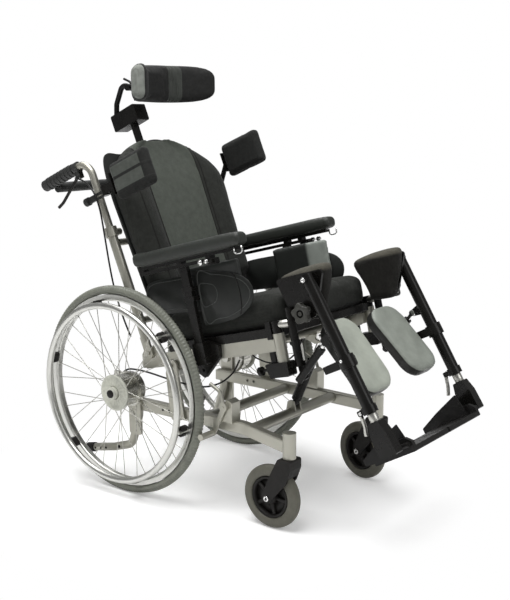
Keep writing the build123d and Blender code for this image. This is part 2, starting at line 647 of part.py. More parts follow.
# black steel on the seat rails: the pan, the armrest sockets and the clamps under the legrest receivers
post_w, post_t = arm_post_size
with BuildPart() as seat_pan:
    low, high = seat_rail_height, seat_rail_height + pan_height
    add(panel([on_seat(pan_rear, low), on_seat(pan_front, low), on_seat(pan_front, high),
               on_seat(pan_rear, high)],
              -pan_half_width, pan_half_width, 3))
    add(panel([on_seat(pan_rear + pan_wall, low - 1), on_seat(pan_front - pan_wall, low - 1),
               on_seat(pan_front - pan_wall, high - pan_wall), on_seat(pan_rear + pan_wall, high - pan_wall)],
              -pan_half_width + pan_wall, pan_half_width - pan_wall), mode=Mode.SUBTRACT)
    for side, hand in SIDES:
        plate_x, sleeve_x = seat_outer_x + 14, arm_post_x + post_t / 2 + 5
        add(panel([on_seat(91, 55), on_seat(150, 55), on_seat(189, 38), on_seat(182, 4), on_seat(118, -45),
                   on_seat(100, -30)], side * seat_outer_x, side * plate_x, 4))
        add(panel([on_seat(arm_post_s - 19, -6), on_seat(arm_post_s + 19, -6), on_seat(arm_post_s + 19, 55),
                   on_seat(arm_post_s - 19, 55)], side * (plate_x - 1), side * sleeve_x, 3))
        half = post_w / 2 + slide_clear
        add(panel([on_seat(arm_post_s - half, -8), on_seat(arm_post_s + half, -8),
                   on_seat(arm_post_s + half, 60),
                   on_seat(arm_post_s - half, 60)], side * (arm_post_x - post_t / 2 - slide_clear),
                  side * (arm_post_x + post_t / 2 + slide_clear)), mode=Mode.SUBTRACT)
        for s, h in ((104, 14), (116, -24)):
            add(bead(on_seat(s, h), side * plate_x, side * (plate_x + 4), 9))
        # latch of the legrest behind its receiver
        latch_foot, latch_front = 34 + seat_clear, receiver_s - receiver_d / 2 - seat_clear
        add(panel([on_seat(364, latch_foot), on_seat(latch_front, latch_foot),
                   on_seat(latch_front, hanger_arm_h + 10), on_seat(364, hanger_arm_h + 10)],
                  side * (receiver_x - 8), side * (receiver_x + 8), 3))
        top, low = receiver_h[0] - seat_clear, receiver_h[0] - 38
        add(panel([on_seat(346, top), on_seat(418, top), on_seat(418, low), on_seat(356, low)],
                  side * (receiver_x - 18), side * (receiver_x + 18), 5))
        add(panel([on_seat(346, top - 6), on_seat(362, top - 6), on_seat(362, 0), on_seat(346, 0)],
                  side * (seat_inner_x + 2), side * (receiver_x - 12)))
        add(rod((side * receiver_x, *on_seat(362, low + 22)), (side * receiver_x, *on_seat(322, low + 20)),
                9))
        add(rod((side * receiver_x, *on_seat(322, low + 20)), (side * receiver_x, *on_seat(312, low + 19)),
                24))
seat_pan.part.label = "seat_pan"
export_step(seat_pan.part, "parts/seat_pan.step")

# ---------------------------------------------------------------- back
back_tube_in = back_tube_x - back_tube_d / 2
bore_of_back = push_tube_d + 2 * slide_clear


def back_plane(up):
    """A plane square to the back tubes: X across the chair, Y to the front."""
    y, z = on_back(up, 0)
    t = radians(back_lean)
    return Plane(origin=(0, y, z), x_dir=(1, 0, 0), z_dir=(0, -sin(t), -cos(t)))


def face_plane(front):
    """A plane parallel to the back: X across the chair, Y up the back tubes."""
    y, z = on_back(0, front)
    t = radians(back_lean)
    return Plane(origin=(0, y, z), x_dir=(1, 0, 0), z_dir=(0, -cos(t), sin(t)))


def half_width_of_back(up):
    """The back's outline: upright sides that run into an elliptical arch."""
    if up <= shell_shoulder:
        return shell_half_width - (shell_shoulder - up) * shell_taper
    rise = (up - shell_shoulder) / (shell_top - shell_shoulder)
    return shell_half_width * sqrt(max(0.0, 1 - rise ** 2.2))


with BuildPart() as back_frame:
    for side, hand in SIDES:
        x = side * back_tube_x
        add(rod((x, *on_back(back_tube_foot, 0)), (x, *on_back(back_tube_top, 0)), back_tube_d, bore_of_back))
        add(rod((x, *on_back(back_tube_top - 24, 0)), (x, *on_back(back_tube_top + 4, 0)), back_tube_d + 10,
                bore_of_back))
        # clamp lug of the handle's height setting, at the inner side of each collar
        add(rod((side * (back_tube_in - 4), *on_back(back_tube_top - 10, 0)),
                (side * (back_tube_in - 20), *on_back(back_tube_top - 10, 0)), 20))
        # solid plug and lug that hang on the recline pin
        add(rod((x, *on_back(back_tube_foot, 0)), (x, *on_back(back_tube_foot + 26, 0)), back_tube_d - 1))
        add(panel([on_back(-8, -14), on_back(back_tube_foot + 16, -14), on_back(back_tube_foot + 16, 14),
                   on_back(-8, 14), on_back(-17, 6), on_back(-17, -6)],
                  side * recline_lug_x[0], side * recline_lug_x[1]))
        add(bead(on_back(0, 0), side * (recline_lug_x[0] - 1), side * (recline_lug_x[1] + 1),
                 recline_pin_d + 2 * run_clear), mode=Mode.SUBTRACT)
    for up in (96, 330):
        add(rod((-back_tube_in - 1, *on_back(up, 0)), (back_tube_in + 1, *on_back(up, 0)), 20, 16))
    for up in (120, 330):
        for side, hand in SIDES:
            add(rod((side * 120, *on_back(up if up > 200 else 96, 6)),
                    (side * 120, *on_back(up if up > 200 else 96, shell_front - shell_t)), 18))
    # guide of the headrest post between the upper cross tube and the shell
    t = radians(back_lean)
    guide = Plane(origin=(0, *on_back(300, post_front)), x_dir=(1, 0, 0), z_dir=(0, sin(t), cos(t)))
    guide_half = post_size[1] / 2 + 5
    reach = shell_front - shell_t - post_front
    with BuildSketch(guide):
        Rectangle(post_size[0] + 10, 2 * guide_half)
    extrude(amount=150)
    with BuildSketch(guide):
        Rectangle(post_size[0] + 2 * slide_clear, post_size[1] + 2 * slide_clear)
    extrude(amount=151, mode=Mode.SUBTRACT)
    with BuildSketch(guide.offset(60)):
        with Locations((0, -(guide_half - 1 + reach) / 2)):
            Rectangle(post_size[0] + 10, reach - guide_half + 1)
    extrude(amount=40)
back_frame.part.label = "back_frame"
export_step(back_frame.part, "parts/back_frame.step")

with BuildPart() as back_shell:
    with BuildSketch(face_plane(shell_front - shell_t)):
        with BuildLine():
            low_x = half_width_of_back(shell_bottom)
            shoulder = (shell_half_width, shell_shoulder)
            knee_up = shell_shoulder + 0.78 * (shell_top - shell_shoulder)
            knee_x = half_width_of_back(knee_up)
            Line((-low_x, shell_bottom), (low_x, shell_bottom))
            Line((low_x, shell_bottom), shoulder)
            Spline(shoulder, (knee_x, knee_up), (0, shell_top), (-knee_x, knee_up),
                   (-shoulder[0], shoulder[1]),
                   tangents=((0, 1), (0, -1)))
            Line((-shoulder[0], shoulder[1]), (-low_x, shell_bottom))
        make_face()
    extrude(amount=shell_t)
    # rails of the lateral supports, square to the back tubes
    for side, hand in SIDES:
        rail_mid = side * lateral_rail_x
        bar_up = (lateral_rail_u - 9, lateral_rail_u + 9)
        add(panel([on_back(bar_up[0], -26), on_back(bar_up[0], 76), on_back(bar_up[1], 76),
                   on_back(bar_up[1], -26)],
                  rail_mid - 4, rail_mid + 4, 2))
        add(panel([on_back(lateral_rail_u - 3, 8), on_back(lateral_rail_u - 3, 70),
                   on_back(lateral_rail_u + 3, 70),
                   on_back(lateral_rail_u + 3, 8)], rail_mid - 5, rail_mid + 5, 2), mode=Mode.SUBTRACT)
        add(rod((rail_mid, *on_back(lateral_rail_u, -20)), (rail_mid, *on_back(lateral_rail_u, -34)), 24))
        add(panel([on_back(bar_up[0], shell_front - shell_t), on_back(bar_up[0], shell_front),
                   on_back(bar_up[1], shell_front), on_back(bar_up[1], shell_front - shell_t)],
                  side * (shell_half_width - 12), side * (lateral_rail_x + 1)))
back_shell.part.label = "back_shell"
export_step(back_shell.part, "parts/back_shell.step")


def back_section(up, center, bolster):
    """A cross section of the back cushion: flat rear, rolled bolsters and a crowned middle panel."""
    half = half_width_of_back(up) - 3
    edge, peak, seam = half - 14, half * 0.80, half * 0.52
    base = shell_front + seat_clear
    with BuildSketch(back_plane(up)) as outline:
        with BuildLine():
            Line((-half, base), (half, base))
            ThreePointArc((half, base), (half + 2, base + bolster * 0.45), (edge, base + bolster * 0.92))
            ThreePointArc((edge, base + bolster * 0.92), (peak, base + bolster), (seam, base + center))
            ThreePointArc((seam, base + center), (0, base + center + 6), (-seam, base + center))
            ThreePointArc((-seam, base + center), (-peak, base + bolster), (-edge, base + bolster * 0.92))
            ThreePointArc((-edge, base + bolster * 0.92), (-half - 2, base + bolster * 0.45), (-half, base))
        make_face()
    return outline.sketch


back_cushion_stations = ((back_cushion_bottom, 0.62, 0.55), (back_cushion_bottom + 30, 0.95, 0.92),
                         (260, 1.0, 1.0),
                         (380, 1.0, 1.0), (470, 0.98, 0.94), (540, 0.92, 0.80), (585, 0.80, 0.62),
                         (shell_top - 6, 0.45, 0.30))
with BuildPart() as back_cushion:
    sections = [back_section(up, back_cushion_center * c, back_cushion_bolster * b)
                for up, c, b in back_cushion_stations]
    loft(Sketch() + sections)
back_cushion.part.label = "back_cushion"
export_step(back_cushion.part, "parts/back_cushion.step")

# ---------------------------------------------------------------- push handles
with BuildPart() as push_handles:
    for side, hand in SIDES:
        x = side * back_tube_x
        add(pipe([(x, *on_back(push_tube_foot, 0)), (x, *on_back(push_tube_top, 0)),
                  (x, *on_back(push_tube_top, grip_span[1] + 4))], push_tube_d, push_bend, push_tube_d - 5))
push_handles.part.label = "push_handles"
export_step(push_handles.part, "parts/push_handles.step")

with BuildPart() as push_grips:
    for side, hand in SIDES:
        x = side * back_tube_x
        grip_start = (x, *on_back(push_tube_top, grip_span[0]))
        grip_end = (x, *on_back(push_tube_top, grip_span[1] - 6))
        add(rod(grip_start, grip_end, grip_d))
        for k in range(7):
            front = grip_span[0] - 14 - k * 16
            add(rod((x, *on_back(push_tube_top, front)), (x, *on_back(push_tube_top, front - 6)), grip_d + 3))
        add(rod((x, *on_back(push_tube_top, grip_span[0] + 1)),
                (x, *on_back(push_tube_top, grip_span[1] + 3)),
                push_tube_d + 0.2), mode=Mode.SUBTRACT)
        # lever bracket in front of the grip
        add(rod((x, *on_back(push_tube_top, -44)), (x, *on_back(push_tube_top, -62)), push_tube_d + 10,
                push_tube_d + 0.2))
        pivot_up, pivot_f = lever_pivot
        add(panel([on_back(push_tube_top - 12, -44), on_back(push_tube_top - 12, -62),
                   on_back(pivot_up - 8, pivot_f - 8), on_back(pivot_up - 8, pivot_f + 8)], x - 9, x - 6))
        add(panel([on_back(push_tube_top - 12, -44), on_back(push_tube_top - 12, -62),
                   on_back(pivot_up - 8, pivot_f - 8), on_back(pivot_up - 8, pivot_f + 8)], x + 6, x + 9))
        add(bead(on_back(*lever_pivot), x - 9, x + 9, 6))
    bar_x = back_tube_x - grip_d / 2 + 3
    add(rod((-bar_x, *on_back(*push_bar_place)), (bar_x, *on_back(*push_bar_place)), push_bar_d))
push_grips.part.label = "push_grips"
export_step(push_grips.part, "parts/push_grips.step")

for side, hand in SIDES:
    x = side * back_tube_x
    with BuildPart() as brake_lever:
        (u0, f0), (u1, f1) = lever_pivot, lever_tip
        add(bead((on_back(u0, f0)), x - 5.7, x + 5.7, 15))
        add(pipe([(x, *on_back(u0, f0 - 5)), (x, *on_back(u0 - 13, f0 - 32)), (x, *on_back(u1 + 6, f1 + 24)),
                  (x, *on_back(u1, f1))], 9, 40))
        add(bead((on_back(u0, f0)), x - 7, x + 7, 6 + 2 * run_clear), mode=Mode.SUBTRACT)
    brake_lever.part.label = f"brake_lever_{hand}"
    export_step(brake_lever.part, f"parts/brake_lever_{hand}.step")

# ---------------------------------------------------------------- headrest
def head_point(y, z):
    """(Y, Z) of a point measured from the headrest's tilt pivot."""
    return (head_pivot_y + y, head_pivot_z + z)


with BuildPart() as headrest_post:
    post_plane = Plane(origin=(0, *on_back(330, post_front)), x_dir=(1, 0, 0),
                       z_dir=(0, sin(radians(back_lean)), cos(radians(back_lean))))
    with BuildSketch(post_plane):
        Rectangle(*post_size)
    extrude(amount=head_block_u[0] - 330 + 4)
    (u0, u1), (f0, f1) = head_block_u, head_block_f
    add(panel([on_back(u0, f0), on_back(u0, f1), on_back(u1, f1), on_back(u1, f0)],
              -head_block_width / 2, head_block_width / 2, 5))
    add(bead(on_back(u1 - 10, f0 + 12), head_block_width / 2, head_block_width / 2 + 14, 16))
    # curved carrier that rises from the block to the tilt pivot
    low = on_back(u1 - 4, f0 + 14)
    add(pipe([(-12, *low), (-12, low[0] - 2, low[1] + 36), (-12, head_pivot_y + 26, head_pivot_z + 12),
              (-12, head_pivot_y + 4, head_pivot_z + 2)], 16, 22))
    add(bead(head_point(0, 0), -22, -2, 20))
    add(bead(head_point(0, 0), -4, 12, 8))
headrest_post.part.label = "headrest_post"
export_step(headrest_post.part, "parts/headrest_post.step")

with BuildPart() as headrest_arm:
    add(bead(head_point(0, 0), -1.7, 10, 20))
    pad_back_y = head_pad_front_y + head_pad_t - head_pivot_y
    add(panel([head_point(2, -8), head_point(2, 8), head_point(pad_back_y + 2, 14),
               head_point(pad_back_y + 2, -14)],
              -1.7, 10))
    add(panel([head_point(pad_back_y + 6, -40), head_point(pad_back_y + 6, 40),
               head_point(pad_back_y + 0.3, 40),
               head_point(pad_back_y + 0.3, -40)], -45, 45))
    # locking lever above the pivot
    add(pipe([(4, *head_point(0, 6)), (4, *head_point(14, 18)), (4, *head_point(36, 26))], 7, 8))
    add(bead(head_point(0, 0), -3, 13, 8 + 2 * run_clear), mode=Mode.SUBTRACT)
headrest_arm.part.label = "headrest_arm"
export_step(headrest_arm.part, "parts/headrest_arm.step")


def head_section(x, y_front, depth, height):
    """A section of the headrest pad across its length: a rounded block."""
    with BuildSketch(Plane(origin=(x, head_pad_front_y + y_front + depth / 2, head_pivot_z + 8),
                           x_dir=(0, 1, 0),
                           z_dir=(1, 0, 0))) as outline:
        RectangleRounded(depth, height, min(depth, height) * 0.38)
    return outline.sketch


head_stations = ((-1.0, -88, 44, 0.80), (-0.90, -84, 56, 0.94), (-0.52, -30, 66, 1.0), (-0.26, -4, 64, 0.98),
                 (0.0, 0, 62, 0.97), (0.26, -4, 64, 0.98), (0.52, -30, 66, 1.0), (0.90, -84, 56, 0.94),
                 (1.0, -88, 44, 0.80))
with BuildPart() as headrest_pad:
    sections = [head_section(head_pad_half_width * x, y, depth, head_pad_height * h) for x, y, depth,
                h in head_stations]
    loft(Sketch() + sections)
headrest_pad.part.label = "headrest_pad"
export_step(headrest_pad.part, "parts/headrest_pad.step")

# ---------------------------------------------------------------- lateral supports
for side, hand in SIDES:
    pad_u = lateral_pad_u[hand]
    pad_len, pad_high = lateral_pad_size
    swing_x = side * (lateral_rail_x + 4 + 11)
    swing = on_back(lateral_rail_u, 66)
    with BuildPart() as lateral_arm:
        up0, up1 = lateral_rail_u - 14, lateral_rail_u + 14
        add(rod((swing_x, *on_back(up0, 66)), (swing_x, *on_back(up1, 66)), 21))
        pad_rear = lateral_pad_f - pad_len / 2
        add(panel([on_back(up0 + 2, 68), on_back(pad_u - 12, pad_rear - 3), on_back(pad_u + 12, pad_rear - 3),
                   on_back(up1 - 2, 68)], swing_x + side * 2, swing_x + side * 7))
        add(panel([on_back(pad_u - 30, pad_rear - 5), on_back(pad_u - 30, pad_rear - seat_clear),
                   on_back(pad_u + 30, pad_rear - seat_clear), on_back(pad_u + 30, pad_rear - 5)],
                  side * (lateral_x - 13), side * (lateral_x + 13)))
    lateral_arm.part.label = f"lateral_arm_{hand}"
    export_step(lateral_arm.part, f"parts/lateral_arm_{hand}.step")

    with BuildPart() as lateral_pad:
        add(panel([on_back(pad_u - pad_high / 2, lateral_pad_f - pad_len / 2),
                   on_back(pad_u - pad_high / 2, lateral_pad_f + pad_len / 2),
                   on_back(pad_u + pad_high / 2, lateral_pad_f + pad_len / 2),
                   on_back(pad_u + pad_high / 2, lateral_pad_f - pad_len / 2)],
                  side * (lateral_x - lateral_pad_t / 2), side * (lateral_x + lateral_pad_t / 2), 9))
        fillet(lateral_pad.edges().group_by(Axis.X)[0 if side > 0 else -1], 7)
    lateral_pad.part.label = f"lateral_pad_{hand}"
    export_step(lateral_pad.part, f"parts/lateral_pad_{hand}.step")

# ---------------------------------------------------------------- armrests
def on_arm(hand, forward, up):
    """(Y, Z) of a point on an armrest, measured like on_seat at the lowest setting."""
    return on_seat(forward, up + arm_raise[hand])


def arm_bar(hand, start, end, low, high):
    """The side outline of a bar along an armrest."""
    return [on_arm(hand, start, low), on_arm(hand, end, low), on_arm(hand, end, high),
            on_arm(hand, start, high)]


for side, hand in SIDES:
    shift = arm_depth[hand]
    post_s = (arm_post_s - post_w / 2, arm_post_s + post_w / 2)
    post_x = (side * (arm_post_x - post_t / 2), side * (arm_post_x + post_t / 2))
    bar_x = (side * (arm_bar_x - arm_bar_width / 2), side * (arm_bar_x + arm_bar_width / 2))
    bars_low, bars_high = arm_top - 22.5, arm_top

    with BuildPart() as armrest_frame:
        add(panel(arm_bar(hand, *post_s, arm_foot, bars_low + 4), *post_x))
        (s0, s1), (s2, s3) = arm_upper_bar, arm_lower_bar
        add(panel(arm_bar(hand, s0 + shift, s1 + shift, bars_high - 8, bars_high), *bar_x))
        add(panel(arm_bar(hand, s2 + shift, s3 + shift, bars_low, bars_low + 9), *bar_x))
        for s in (s2 + shift, arm_post_s - 8, s3 + shift - 16):
            add(panel(arm_bar(hand, s, s + 16, bars_low + 8, bars_high - 7), *bar_x))
        # clamp block of the pad's depth setting, with two knurled bolts
        clamp_x = side * (arm_bar_x + arm_bar_width / 2 - 2)
        add(panel(arm_bar(hand, s3 + shift - 16, s3 + shift + 18, bars_low - 9, bars_low + 7),
                  side * (arm_bar_x - 4), side * (arm_bar_x + arm_bar_width / 2 + 4), 2))
        for s in (s3 + shift - 8, s3 + shift + 8):
            add(bead(on_arm(hand, s, bars_low - 1), clamp_x, clamp_x + side * 13, 11))
        # bands round the post that hold the skirt guard
        for low, high in guard_band_h:
            add(panel(arm_bar(hand, post_s[0] - 6, post_s[1] + 6, low, high),
                      side * guard_x[1], side * (arm_post_x + post_t / 2 + 3), 2))
    armrest_frame.part.label = f"armrest_frame_{hand}"
    export_step(armrest_frame.part, f"parts/armrest_frame_{hand}.step")

    with BuildPart() as armrest_pads:
        s0, s1 = arm_pad_s[0] + shift, arm_pad_s[1] + shift
        low, high = arm_top + seat_clear, arm_pad_top
        add(panel([on_arm(hand, s0 + 10, low), on_arm(hand, s1 - 6, low), on_arm(hand, s1, low + 8),
                   on_arm(hand, s1 - 14, high - 3), on_arm(hand, s1 - 34, high), on_arm(hand, s0 + 26, high),
                   on_arm(hand, s0 + 4, high - 14), on_arm(hand, s0, low + 12)],
                  side * arm_pad_x[0], side * arm_pad_x[1], 5))
        fillet(armrest_pads.faces().sort_by(Axis.X)[0].edges(), 8)
        fillet(armrest_pads.faces().sort_by(Axis.X)[-1].edges(), 8)
        # wedge-shaped hip pad under the armrest, inside the guard
        t = radians(seat_tilt)
        (inner, outer), (rear, front) = hip_pad_x, hip_pad_s
        floor_of_pad = Plane(origin=(0, *on_arm(hand, 0, hip_pad_h[0])), x_dir=(1, 0, 0),
                             z_dir=(0, sin(t), cos(t)))
        with BuildSketch(floor_of_pad) as wedge:
            with BuildLine():
                Polyline((side * outer, -rear), (side * outer, -front), (side * (outer - 14), -front),
                         (side * inner, -front + 50), (side * inner, -rear), close=True)
            make_face()
            fillet(wedge.vertices(), 6)
        extrude(amount=hip_pad_h[1] - hip_pad_h[0])
    armrest_pads.part.label = f"armrest_pads_{hand}"
    export_step(armrest_pads.part, f"parts/armrest_pads_{hand}.step")

    with BuildPart() as skirt_guard:
        guard = (side * guard_x[0], side * guard_x[1])
        add(panel([on_arm(hand, *point) for point in ((154, 247), (278, 222), (322, 206), (345, 166),
                                                      (318, 125),
                                                       (255, 100), (160, 98))], *guard, 14))
        add(panel([on_arm(hand, *point) for point in ((-36, 223), (-2, 244), (148, 237), (150, 137),
                                                       (-46, 151))], *guard, 12))
        # strip behind the post that joins the two halves
        add(panel(arm_bar(hand, 140, 166, 142, 230), side * guard_x[0], side * (guard_x[0] + 2.5)))
    skirt_guard.part.label = f"skirt_guard_{hand}"
    export_step(skirt_guard.part, f"parts/skirt_guard_{hand}.step")

# ---------------------------------------------------------------- legrests
def on_calf(hand, down, front):
    """(Y, Z) of a point on a calf pad, measured from its middle down its length and to its front."""
    along, out = calf_pad_center
    p = radians(calf_pitch[hand])
    return on_leg(along + down * cos(p) - front * sin(p), out + down * sin(p) + front * cos(p))


for side, hand in SIDES:
    with BuildPart() as legrest_hanger:
        pin_x, tube_x = side * receiver_x, side * hanger_x
        add(rod((pin_x, *on_seat(receiver_s, receiver_h[0] + 6)),
                (pin_x, *on_seat(receiver_s, hanger_arm_h + 8)),
                hanger_pin_d))
        add(rod((pin_x, *on_seat(receiver_s, receiver_h[1] + seat_clear)),
                (pin_x, *on_seat(receiver_s, hanger_arm_h + 10)), hanger_pin_d + 4))
        add(rod((pin_x, *on_seat(receiver_s, hanger_arm_h)), (tube_x, *on_seat(hanger_s, hanger_arm_h)), 18))
        add(rod((tube_x, *on_seat(hanger_s, hanger_h[0])), (tube_x, *on_seat(hanger_s, hanger_h[1])),
                hanger_tube_d))
        # shell that carries the knee pad and the knee pivot
        add(panel([on_seat(408, 182), on_seat(557, 188), on_seat(512, 74), on_seat(447, 65)],
                  side * knee_shell_x[0], side * knee_shell_x[1], 9))
        add(bead(on_seat(*knee_pivot), side * knee_shell_x[1], side * (knee_shell_x[1] + 2.7), 32))
        add(bead(on_seat(*knee_pivot), side * knee_shell_x[0], side * (leg_tube_x + leg_tube_d / 2 + 4),
                 knee_pin_d))
        add(bead(on_seat(*knee_pivot), side * (leg_tube_x + leg_tube_d / 2 + 0.6),
                 side * (leg_tube_x + leg_tube_d / 2 + 5), 18))
        # star knob of the knee pad
        knob_x = knee_shell_x[1] + 10
        add(bead(on_seat(*star_knob_place), side * knee_shell_x[1], side * (knob_x + 4), 15))
        add(bead(on_seat(*star_knob_place), side * knob_x, side * (knob_x + 15), 40))
        for k in range(star_knob_lobes):
            turn = 2 * pi * (k + 0.3) / star_knob_lobes
            s, h = star_knob_place
            add(bead(on_seat(s + 18 * cos(turn), h + 18 * sin(turn)), side * (knob_x + 1),
                     side * (knob_x + 13), 19))
        # lug under the tube that the elevating strut turns on
        s, h = elevation_foot
        lug_x = (side * (hanger_x - hanger_tube_d / 2), side * (elevation_x - elevation_tube_d / 2 - 1))
        add(panel([on_seat(s - 14, hanger_h[0] + 12), on_seat(s + 8, hanger_h[0] + 12),
                   on_seat(s + 10, h - 6),
                   on_seat(s, h - 11), on_seat(s - 10, h - 6)], *lug_x))
        add(bead(on_seat(s, h), lug_x[0] - side, lug_x[1] + side, 10 + 2 * run_clear),
            mode=Mode.SUBTRACT)
    legrest_hanger.part.label = f"legrest_hanger_{hand}"
    export_step(legrest_hanger.part, f"parts/legrest_hanger_{hand}.step")

    with BuildPart() as knee_pad:
        add(panel([on_seat(410, 184), on_seat(430, 193), on_seat(500, 199), on_seat(548, 196),
                   on_seat(556, 188),
                   on_seat(540, 140), on_seat(514, 80), on_seat(490, 68), on_seat(462, 66), on_seat(444, 76)],
                  side * knee_pad_x[0], side * knee_pad_x[1], 3))
        fillet(knee_pad.faces().sort_by(Axis.X)[-1 if side < 0 else 0].edges(), 9)
    knee_pad.part.label = f"knee_pad_{hand}"
    export_step(knee_pad.part, f"parts/knee_pad_{hand}.step")

    # leg tube, with its end collar and clamp lever
    x = side * leg_tube_x
    foot_bore = foot_tube_d + 2 * slide_clear
    with BuildPart() as leg_tube:
        add(rod((x, *on_leg(-12, 0)), (x, *on_leg(leg_tube_end, 0)), leg_tube_d))
        add(rod((x, *on_leg(leg_tube_end - 20, 0)), (x, *on_leg(leg_tube_end, 0)), leg_tube_d + 7))
        add(panel([on_leg(leg_tube_end - 17, -12), on_leg(leg_tube_end - 3, -12),
                   on_leg(leg_tube_end - 3, -33),
                   on_leg(leg_tube_end - 17, -33)], x - 9, x + 9, 3))
        add(rod((x, *on_leg(leg_tube_end - 10, -28)), (x - side * 6, *on_leg(leg_tube_end + 42, -46)), 8))
        # lug behind the tube that the strut's head lies against
        along, out = elevation_head
        add(panel([on_leg(along - 16, -10), on_leg(along + 16, -10), on_leg(along + 9, out - 7),
                   on_leg(along - 9, out - 7)], side * (elevation_x + 7.5), side * (elevation_x + 14)))
        add(rod((x, *on_leg(118, 0)), (x, *on_leg(leg_tube_end + 1, 0)), foot_bore), mode=Mode.SUBTRACT)
        add(bead(on_leg(0, 0), x - leg_tube_d, x + leg_tube_d, knee_pin_d + 2 * run_clear),
            mode=Mode.SUBTRACT)
    leg_tube.part.label = f"leg_tube_{hand}"
    export_step(leg_tube.part, f"parts/leg_tube_{hand}.step")

    with BuildPart() as calf_bracket:
        start, end = calf_collar
        add(rod((x, *on_leg(start, 0)), (x, *on_leg(end, 0)), calf_collar_d))
        arm_x = (leg_tube_x - 33, leg_tube_x - 20)
        bar_along, bar_out = calf_bar
        add(panel([on_leg(start + 4, 6), on_leg(end - 4, 6), on_leg(bar_along + 10, bar_out - 6),
                   on_leg(bar_along - 10, bar_out - 6)], side * arm_x[0], side * arm_x[1], 3))
        add(bead(on_leg(*calf_bar), side * (arm_x[0] + 1), side * (calf_pad_x - 36), calf_bar_d))
        add(rod((x, *on_leg(start - 1, 0)), (x, *on_leg(end + 1, 0)), leg_tube_d + 2 * run_clear),
            mode=Mode.SUBTRACT)
    calf_bracket.part.label = f"calf_bracket_{hand}"
    export_step(calf_bracket.part, f"parts/calf_bracket_{hand}.step")

    with BuildPart() as calf_pad:
        wide, tall = calf_pad_size
        (y0, z0), (y1, z1) = on_calf(hand, 0, -calf_pad_t / 2), on_calf(hand, 0, 0)
        pad_plane = Plane(origin=(side * calf_pad_x, y0, z0), x_dir=(1, 0, 0), z_dir=(0, y1 - y0, z1 - z0))
        with BuildSketch(pad_plane):
            RectangleRounded(wide, tall, 52)
        extrude(amount=calf_pad_t)
        fillet(calf_pad.faces().sort_by(Axis((0, 0, 0), (0, y1 - y0, z1 - z0)))[-1].edges(), 11)
        # saddle plate behind the pad, with two eyes round the bar
        for eye_x in (calf_pad_x - 28, calf_pad_x + 16):
            add(bead(on_leg(*calf_bar), side * eye_x, side * (eye_x + 12), calf_bar_d + 8))
        (y0, z0), (y1, z1) = on_calf(hand, 0, -calf_pad_t / 2 - 4 - seat_clear), on_calf(hand, 0, 0)
        with BuildSketch(Plane(origin=(side * calf_pad_x, y0, z0), x_dir=(1, 0, 0),
                               z_dir=(0, y1 - y0, z1 - z0))):
            Rectangle(80, 70)
        extrude(amount=4)
        for eye_x in (calf_pad_x - 28, calf_pad_x + 16):
            rear = -calf_pad_t / 2 - seat_clear - 1
            add(panel([on_calf(hand, -9, rear), on_calf(hand, 9, rear), on_calf(hand, 7, rear - 16),
                       on_calf(hand, -9, rear - 16)], side * eye_x, side * (eye_x + 12)))
        add(bead(on_leg(*calf_bar), side * (calf_pad_x - 60), side * (calf_pad_x + 60),
                 calf_bar_d + 2 * run_clear),
            mode=Mode.SUBTRACT)
    calf_pad.part.label = f"calf_pad_{hand}"
    export_step(calf_pad.part, f"parts/calf_pad_{hand}.step")

    # inner tube and black bracket that carry the footplate
    flip_x, flip_h = flip_axis
    with BuildPart() as foot_tube:
        low, high = foot_bracket_along
        add(rod((x, *on_leg(180, 0)), (x, *on_leg(low + 30, 0)), foot_tube_d))
        add(panel([on_leg(low, -15), on_leg(low, 15), on_leg(low + 34, 24), on_leg(high + 4, 26),
                   on_leg(high + 4, -26), on_leg(low + 34, -24)], x - 16, x + 16, 4))
        add(panel([on_foot(62, flip_h - 5), on_foot(98, flip_h - 5), on_foot(98, flip_h + 5),
                   on_foot(62, flip_h + 5)],
                  side * flip_x, side * (leg_tube_x - 15)))
        add(rod((side * flip_x, *on_foot(61, flip_h)), (side * flip_x, *on_foot(99, flip_h)), 14))
        add(rod((side * flip_x, *on_foot(33, flip_h)), (side * flip_x, *on_foot(122, flip_h)), flip_pin_d))
    foot_tube.part.label = f"foot_tube_{hand}"
    export_step(foot_tube.part, f"parts/foot_tube_{hand}.step")

    with BuildPart() as footplate:
        inner, outer = foot_plate_x
        length, thick = foot_plate_length, foot_plate_t
        add(panel([on_foot(0, 0), on_foot(length, 0), on_foot(length, thick), on_foot(0, thick)],
                  side * inner, side * outer, 3))
        # pockets between the ribs of the underside
        pocket_count, rib = 5, 4
        pitch = (outer - inner - foot_wall_t - rib) / pocket_count
        for k in range(pocket_count):
            pocket = inner + rib + k * pitch
            add(panel([on_foot(rib, -1), on_foot(length - rib, -1), on_foot(length - rib, thick - 5),
                       on_foot(rib, thick - 5)], side * pocket, side * (pocket + pitch - rib)),
                       mode=Mode.SUBTRACT)
        add(panel([on_foot(0, 1), on_foot(length, 1), on_foot(length, 26), on_foot(length - 16, foot_wall_h),
                   on_foot(16, foot_wall_h), on_foot(0, 26)], side * (outer - foot_wall_t), side * outer, 5))
        # guard fin inside the wall
        add(panel([on_foot(-44, 8), on_foot(4, 3), on_foot(101, 10), on_foot(101, 32), on_foot(91, 77),
                   on_foot(15, 50), on_foot(-44, 24)], side * foot_fin_x[0], side * foot_fin_x[1], 2))
        add(panel([on_foot(6, thick - 1), on_foot(100, thick - 1), on_foot(100, thick + 6),
                   on_foot(6, thick + 6)],
                  side * foot_fin_x[0], side * (outer - 2)))
